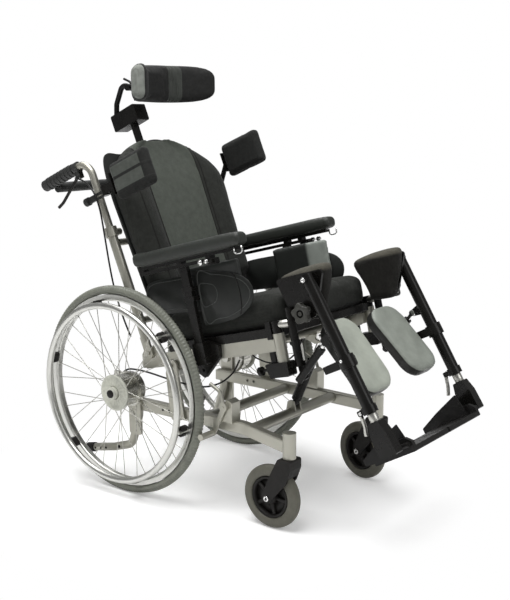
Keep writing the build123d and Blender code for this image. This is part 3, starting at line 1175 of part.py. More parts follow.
        # knuckles on the flip pin
        for start, end in ((34, 60), (100, 120)):
            add(panel([on_foot(start, flip_h - 5), on_foot(end, flip_h - 5), on_foot(end, flip_h + 5),
                       on_foot(start, flip_h + 5)], side * (outer - 2), side * flip_x))
            add(rod((side * flip_x, *on_foot(start, flip_h)), (side * flip_x, *on_foot(end, flip_h)), 14))
        add(rod((side * flip_x, *on_foot(30, flip_h)), (side * flip_x, *on_foot(126, flip_h)),
                flip_pin_d + 2 * run_clear), mode=Mode.SUBTRACT)
    footplate.part.label = f"footplate_{hand}"
    export_step(footplate.part, f"parts/footplate_{hand}.step")

    # strut that elevates the leg: a sleeve turning on the hanger and a rod to the leg tube
    y0, z0 = on_seat(*elevation_foot)
    y1, z1 = on_leg(*elevation_head)
    reach = hypot(y1 - y0, z1 - z0)
    strut_x = side * elevation_x

    def on_strut(distance):
        """A point on the axis of the elevating strut."""
        return (strut_x, y0 + (y1 - y0) * distance / reach, z0 + (z1 - z0) * distance / reach)

    with BuildPart() as elevation_cylinder:
        rear, front = elevation_tube_span
        add(rod(on_strut(rear), on_strut(front), elevation_tube_d))
        add(rod(on_strut(front - 14), on_strut(front), elevation_tube_d + 3))
        add(bead((y0, z0), side * (hanger_x - hanger_tube_d / 2 + 1),
                 side * (elevation_x - elevation_tube_d / 2 + 2),
                 10))
        add(rod(on_strut(rear - 1), on_strut(front + 1), elevation_rod_d + 2 * slide_clear),
            mode=Mode.SUBTRACT)
    elevation_cylinder.part.label = f"elevation_cylinder_{hand}"
    export_step(elevation_cylinder.part, f"parts/elevation_cylinder_{hand}.step")

    with BuildPart() as elevation_rod:
        add(bead((y1, z1), side * (elevation_x - 6.2), side * (elevation_x + 6.5), 17))
        add(rod(on_strut(reach - elevation_rod_length), on_strut(reach - 4), elevation_rod_d))
    elevation_rod.part.label = f"elevation_rod_{hand}"
    export_step(elevation_rod.part, f"parts/elevation_rod_{hand}.step")

# ---------------------------------------------------------------- tilt strut
foot_y, foot_z = tilt_strut_foot
head_y, head_z = on_seat(*tilt_strut_head)
tilt_reach = hypot(head_y - foot_y, head_z - foot_z)


def on_tilt_strut(distance):
    """A point on the axis of the tilt strut, measured from its foot."""
    return (0, foot_y + (head_y - foot_y) * distance / tilt_reach,
            foot_z + (head_z - foot_z) * distance / tilt_reach)


with BuildPart() as tilt_cylinder:
    add(bead((foot_y, foot_z), -10.5, 10.5, 21))
    add(rod(on_tilt_strut(6), on_tilt_strut(18), 16))
    add(rod(on_tilt_strut(16), on_tilt_strut(tilt_cylinder_length), tilt_cylinder_d))
    add(rod(on_tilt_strut(19), on_tilt_strut(tilt_cylinder_length + 1), tilt_rod_d + 2 * slide_clear),
        mode=Mode.SUBTRACT)
    add(bead((foot_y, foot_z), -12, 12, 10 + 2 * run_clear), mode=Mode.SUBTRACT)
tilt_cylinder.part.label = "tilt_cylinder"
export_step(tilt_cylinder.part, "parts/tilt_cylinder.step")

with BuildPart() as tilt_rod:
    add(rod(on_tilt_strut(tilt_reach - tilt_rod_length), on_tilt_strut(tilt_reach), tilt_rod_d))
    add(bead((head_y, head_z), -13.4, 13.4, 20))
    add(bead((head_y, head_z), -20.5, 20.5, 10))
tilt_rod.part.label = "tilt_rod"
export_step(tilt_rod.part, "parts/tilt_rod.step")

# ---------------------------------------------------------------- brake cables
def cable(points):
    """A cable along a route, with each bend as large as the runs beside it allow."""
    corners = [Vector(*point) for point in points]
    runs = [b - a for a, b in zip(corners, corners[1:])]
    radii = [0.45 * min(a.length, b.length) / tan(radians(a.get_angle(b)) / 2)
             for a, b in zip(runs, runs[1:])]
    print("cable runs", [round(run.length) for run in runs], "radii", [round(radius) for radius in radii])
    with BuildPart() as piece:
        with BuildLine() as route:
            FilletPolyline(*points, radius=radii)
        with BuildSketch(Plane(origin=route.line @ 0, z_dir=route.line % 0)):
            Circle(cable_d / 2)
        sweep()
    length = sum(edge.length for edge in route.edges())
    share = piece.part.volume / (length * pi * cable_d ** 2 / 4)
    print("cable length", round(length), "volume over section times length", round(share, 4))
    return piece.part


# from the lever brackets down the outer side of the back tubes: (outside the shell's side, up, front)
upper_route = ((1, 549, -60), (8, 533, -30), (18, 508, 0), (24, 472, 20), (24, 425, 20), (19, 378, 5),
               (13, 330, -12), (10, 276, -27), (8, 220, -39), (6, 164, -45), (3, 110, -47), (3, 62, -42))
with BuildPart() as cables_upper:
    for side, hand in SIDES:
        add(cable([(side * (shell_half_width + x), *on_back(up, front)) for x, up, front in upper_route]))
cables_upper.part.label = "brake_cables_upper"
export_step(cables_upper.part, "parts/brake_cables_upper.step")

# from the drum brakes forward, under the seat rails and up behind them: (outside the shell's side, Y, Z)
lower_route = ((6.5, 39.5, 339), (3, 14, 360), (-5, -22, 360), (-10, -64, 356), (-26, -104, 344),
               (-44, -142, 333), (-54, -190, 327), (-59, -234, 330), (-66, -282, 348), (-72, -322, 384),
               (-76, -338, 420))
with BuildPart() as cables_lower:
    for side, hand in SIDES:
        add(cable([(side * (shell_half_width + x), rear_axle_y + y, z) for x, y, z in lower_route]))
cables_lower.part.label = "brake_cables_lower"
export_step(cables_lower.part, "parts/brake_cables_lower.step")
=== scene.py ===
import math
import bmesh
import bpy
from math import cos, pi, radians, sin
from mathutils import Matrix, Vector
from mathutils.bvhtree import BVHTree


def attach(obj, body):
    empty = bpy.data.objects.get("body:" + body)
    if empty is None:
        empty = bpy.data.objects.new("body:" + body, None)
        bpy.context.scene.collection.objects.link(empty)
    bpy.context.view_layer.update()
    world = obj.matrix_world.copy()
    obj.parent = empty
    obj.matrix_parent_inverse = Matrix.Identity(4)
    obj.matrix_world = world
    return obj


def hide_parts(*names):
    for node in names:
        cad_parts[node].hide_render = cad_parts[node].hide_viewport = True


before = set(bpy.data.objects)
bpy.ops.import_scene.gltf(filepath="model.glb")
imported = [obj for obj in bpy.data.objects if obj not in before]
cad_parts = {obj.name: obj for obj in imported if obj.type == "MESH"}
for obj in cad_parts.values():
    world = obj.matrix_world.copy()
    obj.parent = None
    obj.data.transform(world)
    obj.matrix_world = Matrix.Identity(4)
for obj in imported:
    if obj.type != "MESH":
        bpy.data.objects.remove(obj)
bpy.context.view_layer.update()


def add(name, data):
    """An object in the scene."""
    obj = bpy.data.objects.new(name, data)
    bpy.context.scene.collection.objects.link(obj)
    return obj


# -------------------- camera, at the photograph's angle
CAM_PLACE = Vector((-2.1912, -1.6606, 1.0589))
CAM_BACK = Vector((-0.774592, -0.588487, 0.231871))
CAM_ROLL = -0.006
CAM_LENS = 58.39
CAM_SHIFT = (0.0024, 0.0877)
CAM_CLIP = (0.05, 60)

look = -CAM_BACK.normalized()
right = look.cross(Vector((0, 0, 1))).normalized()
up = right.cross(look)
right, up = (right * cos(CAM_ROLL) + up * sin(CAM_ROLL),
             up * cos(CAM_ROLL) - right * sin(CAM_ROLL))
cam_data = bpy.data.cameras.new("camera")
cam_data.lens = CAM_LENS
cam_data.shift_x, cam_data.shift_y = CAM_SHIFT
cam_data.clip_start, cam_data.clip_end = CAM_CLIP
camera = add("camera", cam_data)
camera.matrix_world = (Matrix.Translation(CAM_PLACE)
                       @ Matrix((right, up, -look)).transposed().to_4x4())
bpy.context.scene.camera = camera
bpy.context.scene.view_settings.view_transform = "Standard"

# -------------------- frames of reference, in metres
REAR_AXLE_Y = 0.2766
SIDES = ((-1, "right"), (1, "left"))
SEAT_TILT, BACK_LEAN, LEG_ANGLE = radians(14), radians(22.5), radians(31.3)
TILT_PIVOT = (REAR_AXLE_Y - 0.150, 0.390)
RECLINE_PIVOT, KNEE_PIVOT = (-0.075, 0.0455), (0.522, 0.169)    # along and above the seat rails


def on_seat(forward, above, x=0.0):
    """Point along and above the seat rails from the tilt pivot."""
    return Vector((x, TILT_PIVOT[0] - forward * cos(SEAT_TILT) + above * sin(SEAT_TILT),
                   TILT_PIVOT[1] + forward * sin(SEAT_TILT) + above * cos(SEAT_TILT)))


def on_back(along, front, x=0.0):
    """Point up the back tubes and in front of them, from the recline pivot."""
    base = on_seat(*RECLINE_PIVOT)
    return Vector((x, base.y + along * sin(BACK_LEAN) - front * cos(BACK_LEAN),
                   base.z + along * cos(BACK_LEAN) + front * sin(BACK_LEAN)))


def on_leg(along, out, x=0.0):
    """Point down the leg tube and in front of it, from the knee pivot."""
    base = on_seat(*KNEE_PIVOT)
    return Vector((x, base.y - along * sin(LEG_ANGLE) - out * cos(LEG_ANGLE),
                   base.z - along * cos(LEG_ANGLE) + out * sin(LEG_ANGLE)))


ORIGIN, ACROSS = Vector(), Vector((1, 0, 0))
ALONG_SEAT, OFF_SEAT = on_seat(1, 0) - on_seat(0, 0), on_seat(0, 1) - on_seat(0, 0)
UP_BACK, OFF_BACK = on_back(1, 0) - on_back(0, 0), on_back(0, 1) - on_back(0, 0)
DOWN_LEG = on_leg(1, 0) - on_leg(0, 0)

# places that both the materials and the pieces use
SEAM_SHARE = 0.52                       # of the back's half width
BACK_NARROW, BACK_SPREAD = 0.2005, 0.05 # half width at the recline pivot, and its growth
LATERAL_X, LATERAL_F = 0.255, 0.188
LATERAL_U = {"right": 0.470, "left": 0.512}
CALF_PITCH = {"right": radians(10), "left": radians(15)}
CALF_MID, CALF_X, CALF_FACE = (0.215, -0.0436), 0.118, 0.0085
HIP_HIGHLIGHT_FROM, KNEE_HIGHLIGHT_FROM = 0.249, 0.184


def on_calf(hand, down, front, x):
    """Point on a calf pad, from its middle down its length and to its front."""
    pitch = CALF_PITCH[hand]
    return on_leg(CALF_MID[0] + down * cos(pitch) - front * sin(pitch),
                  CALF_MID[1] + down * sin(pitch) + front * cos(pitch), x)


# -------------------- materials
class Nodes:
    """A small builder for a material's node tree."""

    def __init__(self, name, color, roughness, metallic=0.0, **sockets):
        self.mat = bpy.data.materials.new(name)
        self.mat.use_nodes = True
        self.tree = self.mat.node_tree
        self.bsdf = self.tree.nodes["Principled BSDF"]
        self.bsdf.inputs["Base Color"].default_value = (*color, 1)
        self.bsdf.inputs["Roughness"].default_value = roughness
        self.bsdf.inputs["Metallic"].default_value = metallic
        for key, value in sockets.items():
            self.bsdf.inputs[key.replace("_", " ")].default_value = value
        self.coord = self.tree.nodes.new("ShaderNodeTexCoord").outputs["Object"]
        self.height = None

    def node(self, kind, inputs, **settings):
        """A node; its inputs are values, or outputs of other nodes to link."""
        made = self.tree.nodes.new(kind)
        for key, value in settings.items():
            setattr(made, key, value)
        for key, value in inputs.items():
            if hasattr(value, "is_output"):
                self.tree.links.new(value, made.inputs[key])
            else:
                made.inputs[key].default_value = value
        return made

    def drive(self, socket, source):
        """Links a field to a socket of the surface."""
        self.tree.links.new(source, self.bsdf.inputs[socket])

    def noise(self, scale, detail=3.0, stretch=None):
        """A noise field over the piece; stretch scales its axes."""
        place = self.coord
        if stretch:
            place = self.node("ShaderNodeMapping", {"Vector": place, "Scale": stretch}).outputs[0]
        inputs = {"Vector": place, "Scale": scale, "Detail": detail}
        return self.node("ShaderNodeTexNoise", inputs).outputs["Fac"]

    def band(self, direction, pitch):
        """Sine bands square to an axis, one per pitch in metres."""
        inputs = {"Vector": self.coord, "Scale": 2 * pi / pitch / 20}
        return self.node("ShaderNodeTexWave", inputs, wave_type="BANDS", bands_direction=direction,
                         wave_profile="SIN").outputs["Fac"]

    def cells(self, scale):
        inputs = {"Vector": self.coord, "Scale": scale}
        return self.node("ShaderNodeTexVoronoi", inputs).outputs["Distance"]

    def math(self, operation, a, b):
        return self.node("ShaderNodeMath", {0: a, 1: b}, operation=operation).outputs[0]

    def span(self, field, low, high, start=0.3, end=0.7):
        """The field mapped from start..end to low..high."""
        inputs = {"Value": field, "From Min": start, "From Max": end, "To Min": low, "To Max": high}
        return self.node("ShaderNodeMapRange", inputs).outputs["Result"]

    def ramp(self, field, dark, light, start, end):
        """Colour that goes from dark to light as the field goes from start to end."""
        made = self.node("ShaderNodeValToRGB", {"Fac": field})
        for element, place, color in zip(made.color_ramp.elements, (start, end), (dark, light)):
            element.position, element.color = place, (*color, 1)
        return made.outputs["Color"]

    def tint(self, field, dark, light, start=0.3, end=0.7):
        self.drive("Base Color", self.ramp(field, dark, light, start, end))

    def second(self, field, mask, dark, light):
        """Lays a second pair of colours over the first where the mask is 1."""
        first = self.bsdf.inputs["Base Color"].links[0].from_socket
        inputs = {"Factor": mask, "A": first, "B": self.ramp(field, dark, light, 0.25, 0.75)}
        mix = self.node("ShaderNodeMix", inputs, data_type="RGBA")
        self.drive("Base Color", mix.outputs["Result"])

    def depth(self, origin, direction):
        """Distance of the surface from a plane, in metres, along the plane's normal."""
        offset = self.node("ShaderNodeVectorMath", {0: self.coord, 1: origin}, operation="SUBTRACT")
        inputs = {0: offset.outputs[0], 1: direction.normalized()}
        return self.node("ShaderNodeVectorMath", inputs, operation="DOT_PRODUCT").outputs["Value"]

    def window(self, field, low, high, edge=0.0008):
        """1 where a field lies between two values and 0 elsewhere."""
        return self.math("MULTIPLY", self.span(field, 0.0, 1.0, low - edge, low + edge),
                         self.span(field, 1.0, 0.0, high - edge, high + edge))

    def rough(self, field, low, high):
        self.drive("Roughness", self.span(field, low, high))

    def bump(self, field, depth, strength):
        """Adds a bump of a depth in metres; calls stack."""
        inputs = {"Strength": strength, "Distance": depth, "Height": field}
        if self.height:
            inputs["Normal"] = self.height
        self.height = self.node("ShaderNodeBump", inputs).outputs["Normal"]
        self.drive("Normal", self.height)


def shade(color, factor):
    return tuple(channel * factor for channel in color)


def metallic_paint(name, color):
    m = Nodes(name, color, 0.36, 0.75, Coat_Weight=0.35, Coat_Roughness=0.12)
    m.tint(m.noise(9.0), shade(color, 0.93), shade(color, 1.05))
    m.rough(m.noise(140.0, 2), 0.33, 0.42)
    m.bump(m.noise(1500.0, 1), 0.00004, 0.6)
    return m.mat


def gloss_black(name, color):
    m = Nodes(name, color, 0.25, 0.0, Specular_IOR_Level=0.2, Coat_Weight=0.04, Coat_Roughness=0.08)
    m.tint(m.noise(14.0), shade(color, 0.8), shade(color, 1.5))
    m.rough(m.noise(30.0), 0.22, 0.32)
    m.bump(m.noise(45.0, 1), 0.00002, 0.15)
    return m.mat


def moulded(name, color, low=0.42, high=0.6):
    m = Nodes(name, color, 0.5, 0.0, Specular_IOR_Level=0.22)
    m.tint(m.noise(22.0, 4), shade(color, 0.85), shade(color, 1.18))
    m.rough(m.noise(60.0), low, high)
    m.bump(m.cells(900.0), 0.00005, 0.2)
    return m.mat


def rubber(name, color, low=0.5, high=0.66):
    m = Nodes(name, color, 0.6)
    m.tint(m.noise(38.0, 5), shade(color, 0.86), shade(color, 1.12))
    m.rough(m.noise(210.0), low, high)
    m.bump(m.noise(1100.0, 3), 0.00008, 0.4)
    return m.mat


def bright_metal(name, color, low, high, scratch=0.00003, along=(1, 1, 1)):
    m = Nodes(name, color, 0.25, 1.0)
    m.tint(m.noise(25.0), shade(color, 0.94), shade(color, 1.03))
    m.rough(m.noise(300.0, 3, along), low, high)
    m.bump(m.noise(1600.0, 2, along), scratch, 0.6)
    return m.mat


THREAD = 0.0016     # pitch of the weave, in metres


def cloth(name, color):
    """Woven cover; gives the builder and its mottling."""
    m = Nodes(name, color, 0.85, 0.0, Sheen_Weight=0.06, Sheen_Roughness=0.4, Specular_IOR_Level=0.2)
    weave = m.math("MULTIPLY", m.band("X", THREAD), m.band("Z", THREAD))
    mottle = m.math("ADD", m.math("MULTIPLY", m.noise(60.0, 5), 0.75),
                    m.math("MULTIPLY", weave, 0.35))
    m.tint(mottle, shade(color, 0.75), shade(color, 1.35), 0.25, 0.75)
    m.rough(m.noise(150.0), 0.72, 0.92)
    m.bump(weave, 0.0003, 0.7)
    m.bump(m.noise(34.0, 4), 0.0012, 0.5)
    return m, mottle


def cloth_weave(name, color):
    return cloth(name, color)[0].mat


def back_cloth(name, color, middle):
    """Back cover with a lighter middle panel between its seams."""
    m, mottle = cloth(name, color)
    up = m.depth(on_back(0, 0), UP_BACK)
    side = m.math("ABSOLUTE", m.depth(ORIGIN, ACROSS), 0.0)
    half = m.math("ADD", m.math("MULTIPLY", up, BACK_SPREAD), BACK_NARROW)
    limit = m.math("MULTIPLY", half, SEAM_SHARE)
    inside = m.span(m.math("SUBTRACT", side, limit), 1.0, 0.0, -0.0006, 0.0006)
    m.second(mottle, inside, shade(middle, 0.8), shade(middle, 1.2))
    return m.mat


def knee_cloth_with_highlight(name, color, top):
    """Knee pad cover with a khaki painted highlight along its top, where the light falls."""
    m, mottle = cloth(name, color)
    # khaki band over the top: painted highlight on the pad's lit top
    top_highlight = m.span(m.depth(on_seat(0, KNEE_HIGHLIGHT_FROM), OFF_SEAT), 0.0, 1.0, -0.004, 0.004)
    m.second(mottle, top_highlight, shade(top, 0.8), shade(top, 1.2))
    return m.mat


def head_cloth(name, color):
    """Headrest cover: a painted highlight on its right end face, a ribbed grey band and dark ends."""
    m, mottle = cloth(name, color)
    across = m.depth(ORIGIN, ACROSS)
    band = m.window(across, 0.037, 0.078)
    m.second(mottle, band, (0.034, 0.037, 0.033), (0.060, 0.064, 0.058))
    # right end lightened: painted highlight on the end face that faces the lamps
    m.second(mottle, m.window(across, -0.30, -0.15), (0.15, 0.157, 0.143), (0.27, 0.285, 0.26))
    m.bump(m.math("MULTIPLY", m.band("X", 0.011), band), 0.0022, 0.9)
    return m.mat


def lateral_cloth_front_lit(name, color, hand):
    """Lateral pad cover: grey bands between dark double piping; the piping is the cover's own, the grey
    of the bands is painted front light.
    """
    m, mottle = cloth(name, color)
    middle = on_back(LATERAL_U[hand], LATERAL_F)
    up, ahead = m.depth(middle, UP_BACK), m.depth(middle, OFF_BACK)
    # grey bands: painted front light, given to the near right pad only
    grey = m.math("MAXIMUM", m.window(up, 0.012, 0.040), m.window(up, -0.028, 0.004))
    grey = m.math("MULTIPLY", grey, m.span(ahead, 1.0, 0.0, 0.050, 0.052))
    m.second(mottle, grey, (0.052, 0.057, 0.050), (0.085, 0.092, 0.082))
    piping = m.math("MAXIMUM", m.window(up, 0.004, 0.012), m.window(up, -0.036, -0.028))
    m.bump(piping, 0.0010, 0.8)
    return m.mat


def soft_skin(name, color, low=0.38, high=0.55, over=None):
    """Moulded skin. over lays a second colour on what lies in front of a plane:
    (colour, its variation, point, direction, blend)."""
    m = Nodes(name, color, 0.45, 0.0, Specular_IOR_Level=0.38)
    mottle = m.noise(26.0, 4)
    m.tint(mottle, shade(color, 0.9), shade(color, 1.1))
    if over:
        tone, vary, point, direction, blend = over
        mask = m.span(m.depth(point, direction), 0.0, 1.0, *blend)
        m.second(mottle, mask, shade(tone, 1 - vary), shade(tone, 1 + vary))
    m.rough(m.noise(120.0), low, high)
    m.bump(m.cells(520.0), 0.0002, 0.7)
    m.bump(m.noise(70.0, 3), 0.0004, 0.5)
    return m.mat


LATERAL_TONE, HIP_TONE = (0.015, 0.0155, 0.0145), (0.018, 0.020, 0.018)
MAT = {
    "silver": metallic_paint("silver_paint", (0.40, 0.392, 0.338)),
    "black": gloss_black("black_paint", (0.0055, 0.0052, 0.0046)),
    "plastic": moulded("black_plastic", (0.011, 0.010, 0.009)),
    "shell": moulded("shell_plastic", (0.02, 0.021, 0.02), 0.35, 0.5),
    "guard": moulded("guard_plastic", (0.019, 0.0205, 0.019), 0.3, 0.44),
    "line": moulded("guard_line_painted_highlight", (0.07, 0.074, 0.07), 0.3, 0.44),
    "foot": moulded("foot_plastic", (0.010, 0.0095, 0.009), 0.38, 0.52),
    "tyre": rubber("tyre_rubber", (0.165, 0.172, 0.142), 0.36, 0.5),
    "caster": rubber("caster_rubber", (0.100, 0.097, 0.075)),
    "grip": rubber("grip_rubber", (0.018, 0.019, 0.018)),
    "rim": bright_metal("rim_aluminium", (0.60, 0.60, 0.57), 0.26, 0.38),
    "chrome": bright_metal("chrome", (0.78, 0.78, 0.77), 0.06, 0.14, 0.00001),
    "steel": bright_metal("brushed_steel", (0.52, 0.515, 0.48), 0.26, 0.4, 0.00005, (1, 1, 6)),
    "fabric": cloth_weave("seat_fabric", (0.017, 0.018, 0.0155)),
    "back": back_cloth("back_fabric", (0.022, 0.0232, 0.0205), (0.072, 0.080, 0.068)),
    "head": head_cloth("headrest_fabric", (0.016, 0.016, 0.0155)),
    "knee": knee_cloth_with_highlight("knee_fabric_painted_highlight", (0.011, 0.0105, 0.009), (0.072, 0.068, 0.054)),
    "pad": soft_skin("armrest_skin", (0.022, 0.0245, 0.021)),
    "hip_right": soft_skin("hip_pad_skin_right", HIP_TONE),
    # the left hip pad's front face gets a lighter second colour: a painted highlight where the front
    # light falls, on the same skin as the right pad
    "hip_left": soft_skin("hip_pad_skin_left", HIP_TONE, over=(
        (0.19, 0.207, 0.187), 0.15, on_seat(HIP_HIGHLIGHT_FROM, 0), ALONG_SEAT, (-0.004, 0.006))),
    "hub": moulded("hub_plate", (0.52, 0.525, 0.46), 0.2, 0.32),
    "spoke": bright_metal("spoke_steel", (0.50, 0.495, 0.455), 0.22, 0.34),
    "knob": moulded("knob_plastic", (0.045, 0.045, 0.040), 0.3, 0.42),
    "cable": moulded("cable_sleeve", (0.008, 0.008, 0.008), 0.3, 0.4),
    "lateral_right": lateral_cloth_front_lit("lateral_fabric_right", LATERAL_TONE, "right"),
    "lateral_left": cloth_weave("lateral_fabric_left", LATERAL_TONE),
}
# both calf pads have the same face colour; the right face is painted lighter and the left darker, as
# painted light and shade from how the lamps fall on them
for hand, tone in (("right", (0.33, 0.352, 0.305)), ("left", (0.215, 0.232, 0.205))):
    ahead = on_calf(hand, 0, 1, 0) - on_calf(hand, 0, 0, 0)
    MAT["calf_" + hand] = soft_skin(
        "calf_pad_skin_painted_light_" + hand, (0.016, 0.016, 0.0145), 0.34, 0.52,
        (tone, 0.14, on_calf(hand, 0, CALF_FACE, 0), ahead, (-0.0008, 0.0008)))

CAD_LOOKS = {
    "silver": "chassis_frame tipping_tubes seat_frame back_frame push_handles wheel_lock",
    "black": "seat_pan headrest_post headrest_arm tilt_cylinder lateral_arm armrest_frame "
             "legrest_hanger leg_tube calf_bracket foot_tube elevation_cylinder",
    "steel": "drum_brakes", "chrome": "tilt_rod elevation_rod", "spoke": "rear_hub",
    "plastic": "caster_fork brake_lever", "cable": "brake_cables_upper brake_cables_lower",
    "shell": "back_shell", "guard": "skirt_guard", "foot": "footplate", "grip": "push_grips",
    "fabric": "seat_cushion lateral_pad calf_pad", "back": "back_cushion", "head": "headrest_pad",
    "pad": "armrest_pads", "knee": "knee_pad", "tyre": "rear_tyre", "rim": "rear_rim",
    "caster": "caster_wheel",
}
LOOK_OF = {kind: look for look, kinds in CAD_LOOKS.items() for kind in kinds.split()}
for name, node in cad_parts.items():
    kind = name.removesuffix("_right").removesuffix("_left")
    node.data.materials.clear()
    node.data.materials.append(MAT[LOOK_OF[kind]])


# -------------------- mesh helpers
# a shape is a pair: its vertices and its faces
def new_piece(name, shape, material, body, node=None):
    """A mesh piece that rides on a body and may stand for a CAD node."""
    mesh = bpy.data.meshes.new(name)
    shell = bmesh.new()
    made = [shell.verts.new(v) for v in shape[0]]
    for face in shape[1]:
        shell.faces.new([made[i] for i in face])
    bmesh.ops.recalc_face_normals(shell, faces=shell.faces)
    shell.to_mesh(mesh)
    shell.free()
    obj = add(name, mesh)
    mesh.materials.append(MAT[material])
    mesh.shade_smooth()
    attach(obj, body)
    if node:
        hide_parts(node)
    return obj


FINE = 0.006        # step of the small blocks, in metres


def rounded_block(half, radius, step=0.009):
    """A block about the origin whose edges and corners are rounded."""
    counts = [max(4, round(2 * size / step)) for size in half]
    verts, faces, seen = [], [], {}

    def vertex(key):
        if key not in seen:
            at = Vector([(2 * key[i] / counts[i] - 1) * half[i] for i in range(3)])
            core = Vector([max(radius - half[i], min(half[i] - radius, at[i])) for i in range(3)])
            out = at - core
            seen[key] = len(verts)
            verts.append(core + out.normalized() * radius if out.length > 1e-9 else at)
        return seen[key]

    for axis in range(3):
        a, b = (axis + 1) % 3, (axis + 2) % 3
        for end in (0, counts[axis]):
            for i in range(counts[a]):
                for j in range(counts[b]):
                    corners = []
                    for di, dj in ((0, 0), (1, 0), (1, 1), (0, 1)):
                        key = [0, 0, 0]
                        key[axis], key[a], key[b] = end, i + di, j + dj
                        corners.append(vertex(tuple(key)))
                    faces.append(corners)
    return verts, faces


def smooth_step(low, high, value):
    t = max(0.0, min(1.0, (value - low) / (high - low)))
    return t * t * (3 - 2 * t)


def bell(offset, width):
    """A bell curve of height 1."""
    return math.exp(-(offset / width) ** 2)


def ring_faces(rings, count, wrap=False):
    """Faces between neighbouring rings of points; wrap joins the last ring to the first."""
    faces = []
    for i in range(rings if wrap else rings - 1):
        j = (i + 1) % rings
        for k in range(count):
            n = (k + 1) % count
            faces.append((i * count + k, i * count + n, j * count + n, j * count + k))
    return faces


def capped_faces(rings, count):
    """Faces between rings, and one over the first ring and one over the last."""
    last = (rings - 1) * count
    return ring_faces(rings, count) + [tuple(range(count)), tuple(range(last, last + count))]


def tube(path, radius, sides, closed=False):
    """A round tube along points."""
    verts, normal, count = [], None, len(path)
    for i, point in enumerate(path):
        ahead = path[(i + 1) % count] if closed or i + 1 < count else point
        behind = path[i - 1] if closed or i else point
        along = (ahead - behind).normalized()
        if normal is None:
            normal = along.orthogonal().normalized()
        normal = (normal - along * normal.dot(along)).normalized()
        across = along.cross(normal)
        for k in range(sides):
            turn = 2 * pi * k / sides
            verts.append(point + (normal * cos(turn) + across * sin(turn)) * radius)
    return verts, ring_faces(count, sides, True) if closed else capped_faces(count, sides)


def lathe(profile, center, axis, steps):
    """A turned shape with closed ends: profile is (along the axis, radius)."""
    axis = Vector(axis).normalized()
    side = axis.orthogonal().normalized()
    other = axis.cross(side)
    verts = []
    for along, radius in profile:
        for k in range(steps):
            turn = 2 * pi * k / steps
            verts.append(Vector(center) + axis * along
                         + (side * cos(turn) + other * sin(turn)) * max(radius, 1e-5))
    return verts, capped_faces(len(profile), steps)


def ring_lathe(profile, steps):
    """A closed turned ring about the X axis."""
    verts = []
    for k in range(steps):
        turn = 2 * pi * k / steps
        verts += [Vector((along, radius * cos(turn), radius * sin(turn))) for along, radius in profile]
    return verts, ring_faces(steps, len(profile), True)


def merged(*shapes):
    """Several shapes as one."""
    verts, faces = [], []
    for more_verts, more_faces in shapes:
        base = len(verts)
        verts += more_verts
        faces += [tuple(base + i for i in face) for face in more_faces]
    return verts, faces


def moved(shape, place):
    """A shape with each vertex passed through a function."""
    return [place(v) for v in shape[0]], shape[1]


def mirrored(v, side):
    return Vector((side * v.x, v.y, v.z))


def spun(shape, offset, turn):
    """A shape moved by an offset and then turned about the X axis."""
    spin = Matrix.Rotation(turn, 4, "X")
    return moved(shape, lambda v: spin @ (v + offset))


# -------------------- padded pieces
PADS = []                           # (object, cap in metres, pin weight function or None)
VOXEL, SWELL_FRAMES = 0.005, 20


def pad(name, shape, place, material, body, node, cap=0.006, pin=None):
    """A stuffed piece: its form is placed, remeshed evenly and later swollen by simulation."""
    obj = new_piece(name, moved(shape, place), material, body, node)
    remesh = obj.modifiers.new("even", "REMESH")
    remesh.mode, remesh.voxel_size = "VOXEL", VOXEL
    shown = bpy.context.evaluated_depsgraph_get()
    even = bpy.data.meshes.new_from_object(obj.evaluated_get(shown))
    obj.modifiers.clear()
    old = obj.data
    obj.data = even
    even.name = name
    bpy.data.meshes.remove(old)
    even.materials.clear()
    even.materials.append(MAT[material])
    even.shade_smooth()
    PADS.append((obj, cap, pin))


def swell_pads():
    """Inflates every pad at once as cloth, then caps how far each point has moved."""
    starts = []
    for obj, _, pin in PADS:
        starts.append([v.co.copy() for v in obj.data.vertices])
        swell = obj.modifiers.new("swell", "CLOTH")
        rules = swell.settings
        rules.quality, rules.mass = 4, 0.3
        rules.tension_stiffness = rules.compression_stiffness = 18
        rules.bending_stiffness = 0.6
        rules.use_pressure, rules.uniform_pressure_force = True, 4.0
        rules.effector_weights.gravity = 0
        swell.collision_settings.use_collision = False
        if pin:
            group = obj.vertex_groups.new(name="pin")
            for i, at in enumerate(starts[-1]):
                weight = pin(at)
                if weight > 0:
                    group.add([i], weight, "REPLACE")
            rules.vertex_group_mass = "pin"
    scene = bpy.context.scene
    for number in range(1, SWELL_FRAMES + 1):
        scene.frame_set(number)
    shown = bpy.context.evaluated_depsgraph_get()
    for (obj, cap, _), start in zip(PADS, starts):
        swollen = obj.evaluated_get(shown).to_mesh()
        ends = [v.co.copy() for v in swollen.vertices]
        obj.evaluated_get(shown).to_mesh_clear()
        obj.modifiers.clear()
        obj.vertex_groups.clear()
        for vertex, at, end in zip(obj.data.vertices, start, ends):
            step = end - at
            vertex.co = at + step * min(1.0, cap / max(step.length, 1e-9))
    scene.frame_set(1)


def finish_pads():
    for obj, _, _ in PADS:
        smooth = obj.modifiers.new("smooth", "SUBSURF")
        smooth.levels = smooth.render_levels = 1


# seat cushion: a crowned block with a rolled front edge
SEAT_BASE, SEAT_MID = 0.0623, 0.205     # its underside above the rails, its middle along them
SEAT_HALF = (0.209, 0.2065, 0.040)


def seat_place(v):
    x, f, h = v
    slack = 1 - (x / SEAT_HALF[0]) ** 2
    crown = 0.010 * slack * (1 - (f / SEAT_HALF[1]) ** 2)
    dish = -0.010 * bell(f + 0.07, 0.10) * slack
    lift = (crown + dish) * smooth_step(-0.02, 0.03, h)
    return on_seat(SEAT_MID + f, SEAT_BASE + SEAT_HALF[2] + h + lift, x)


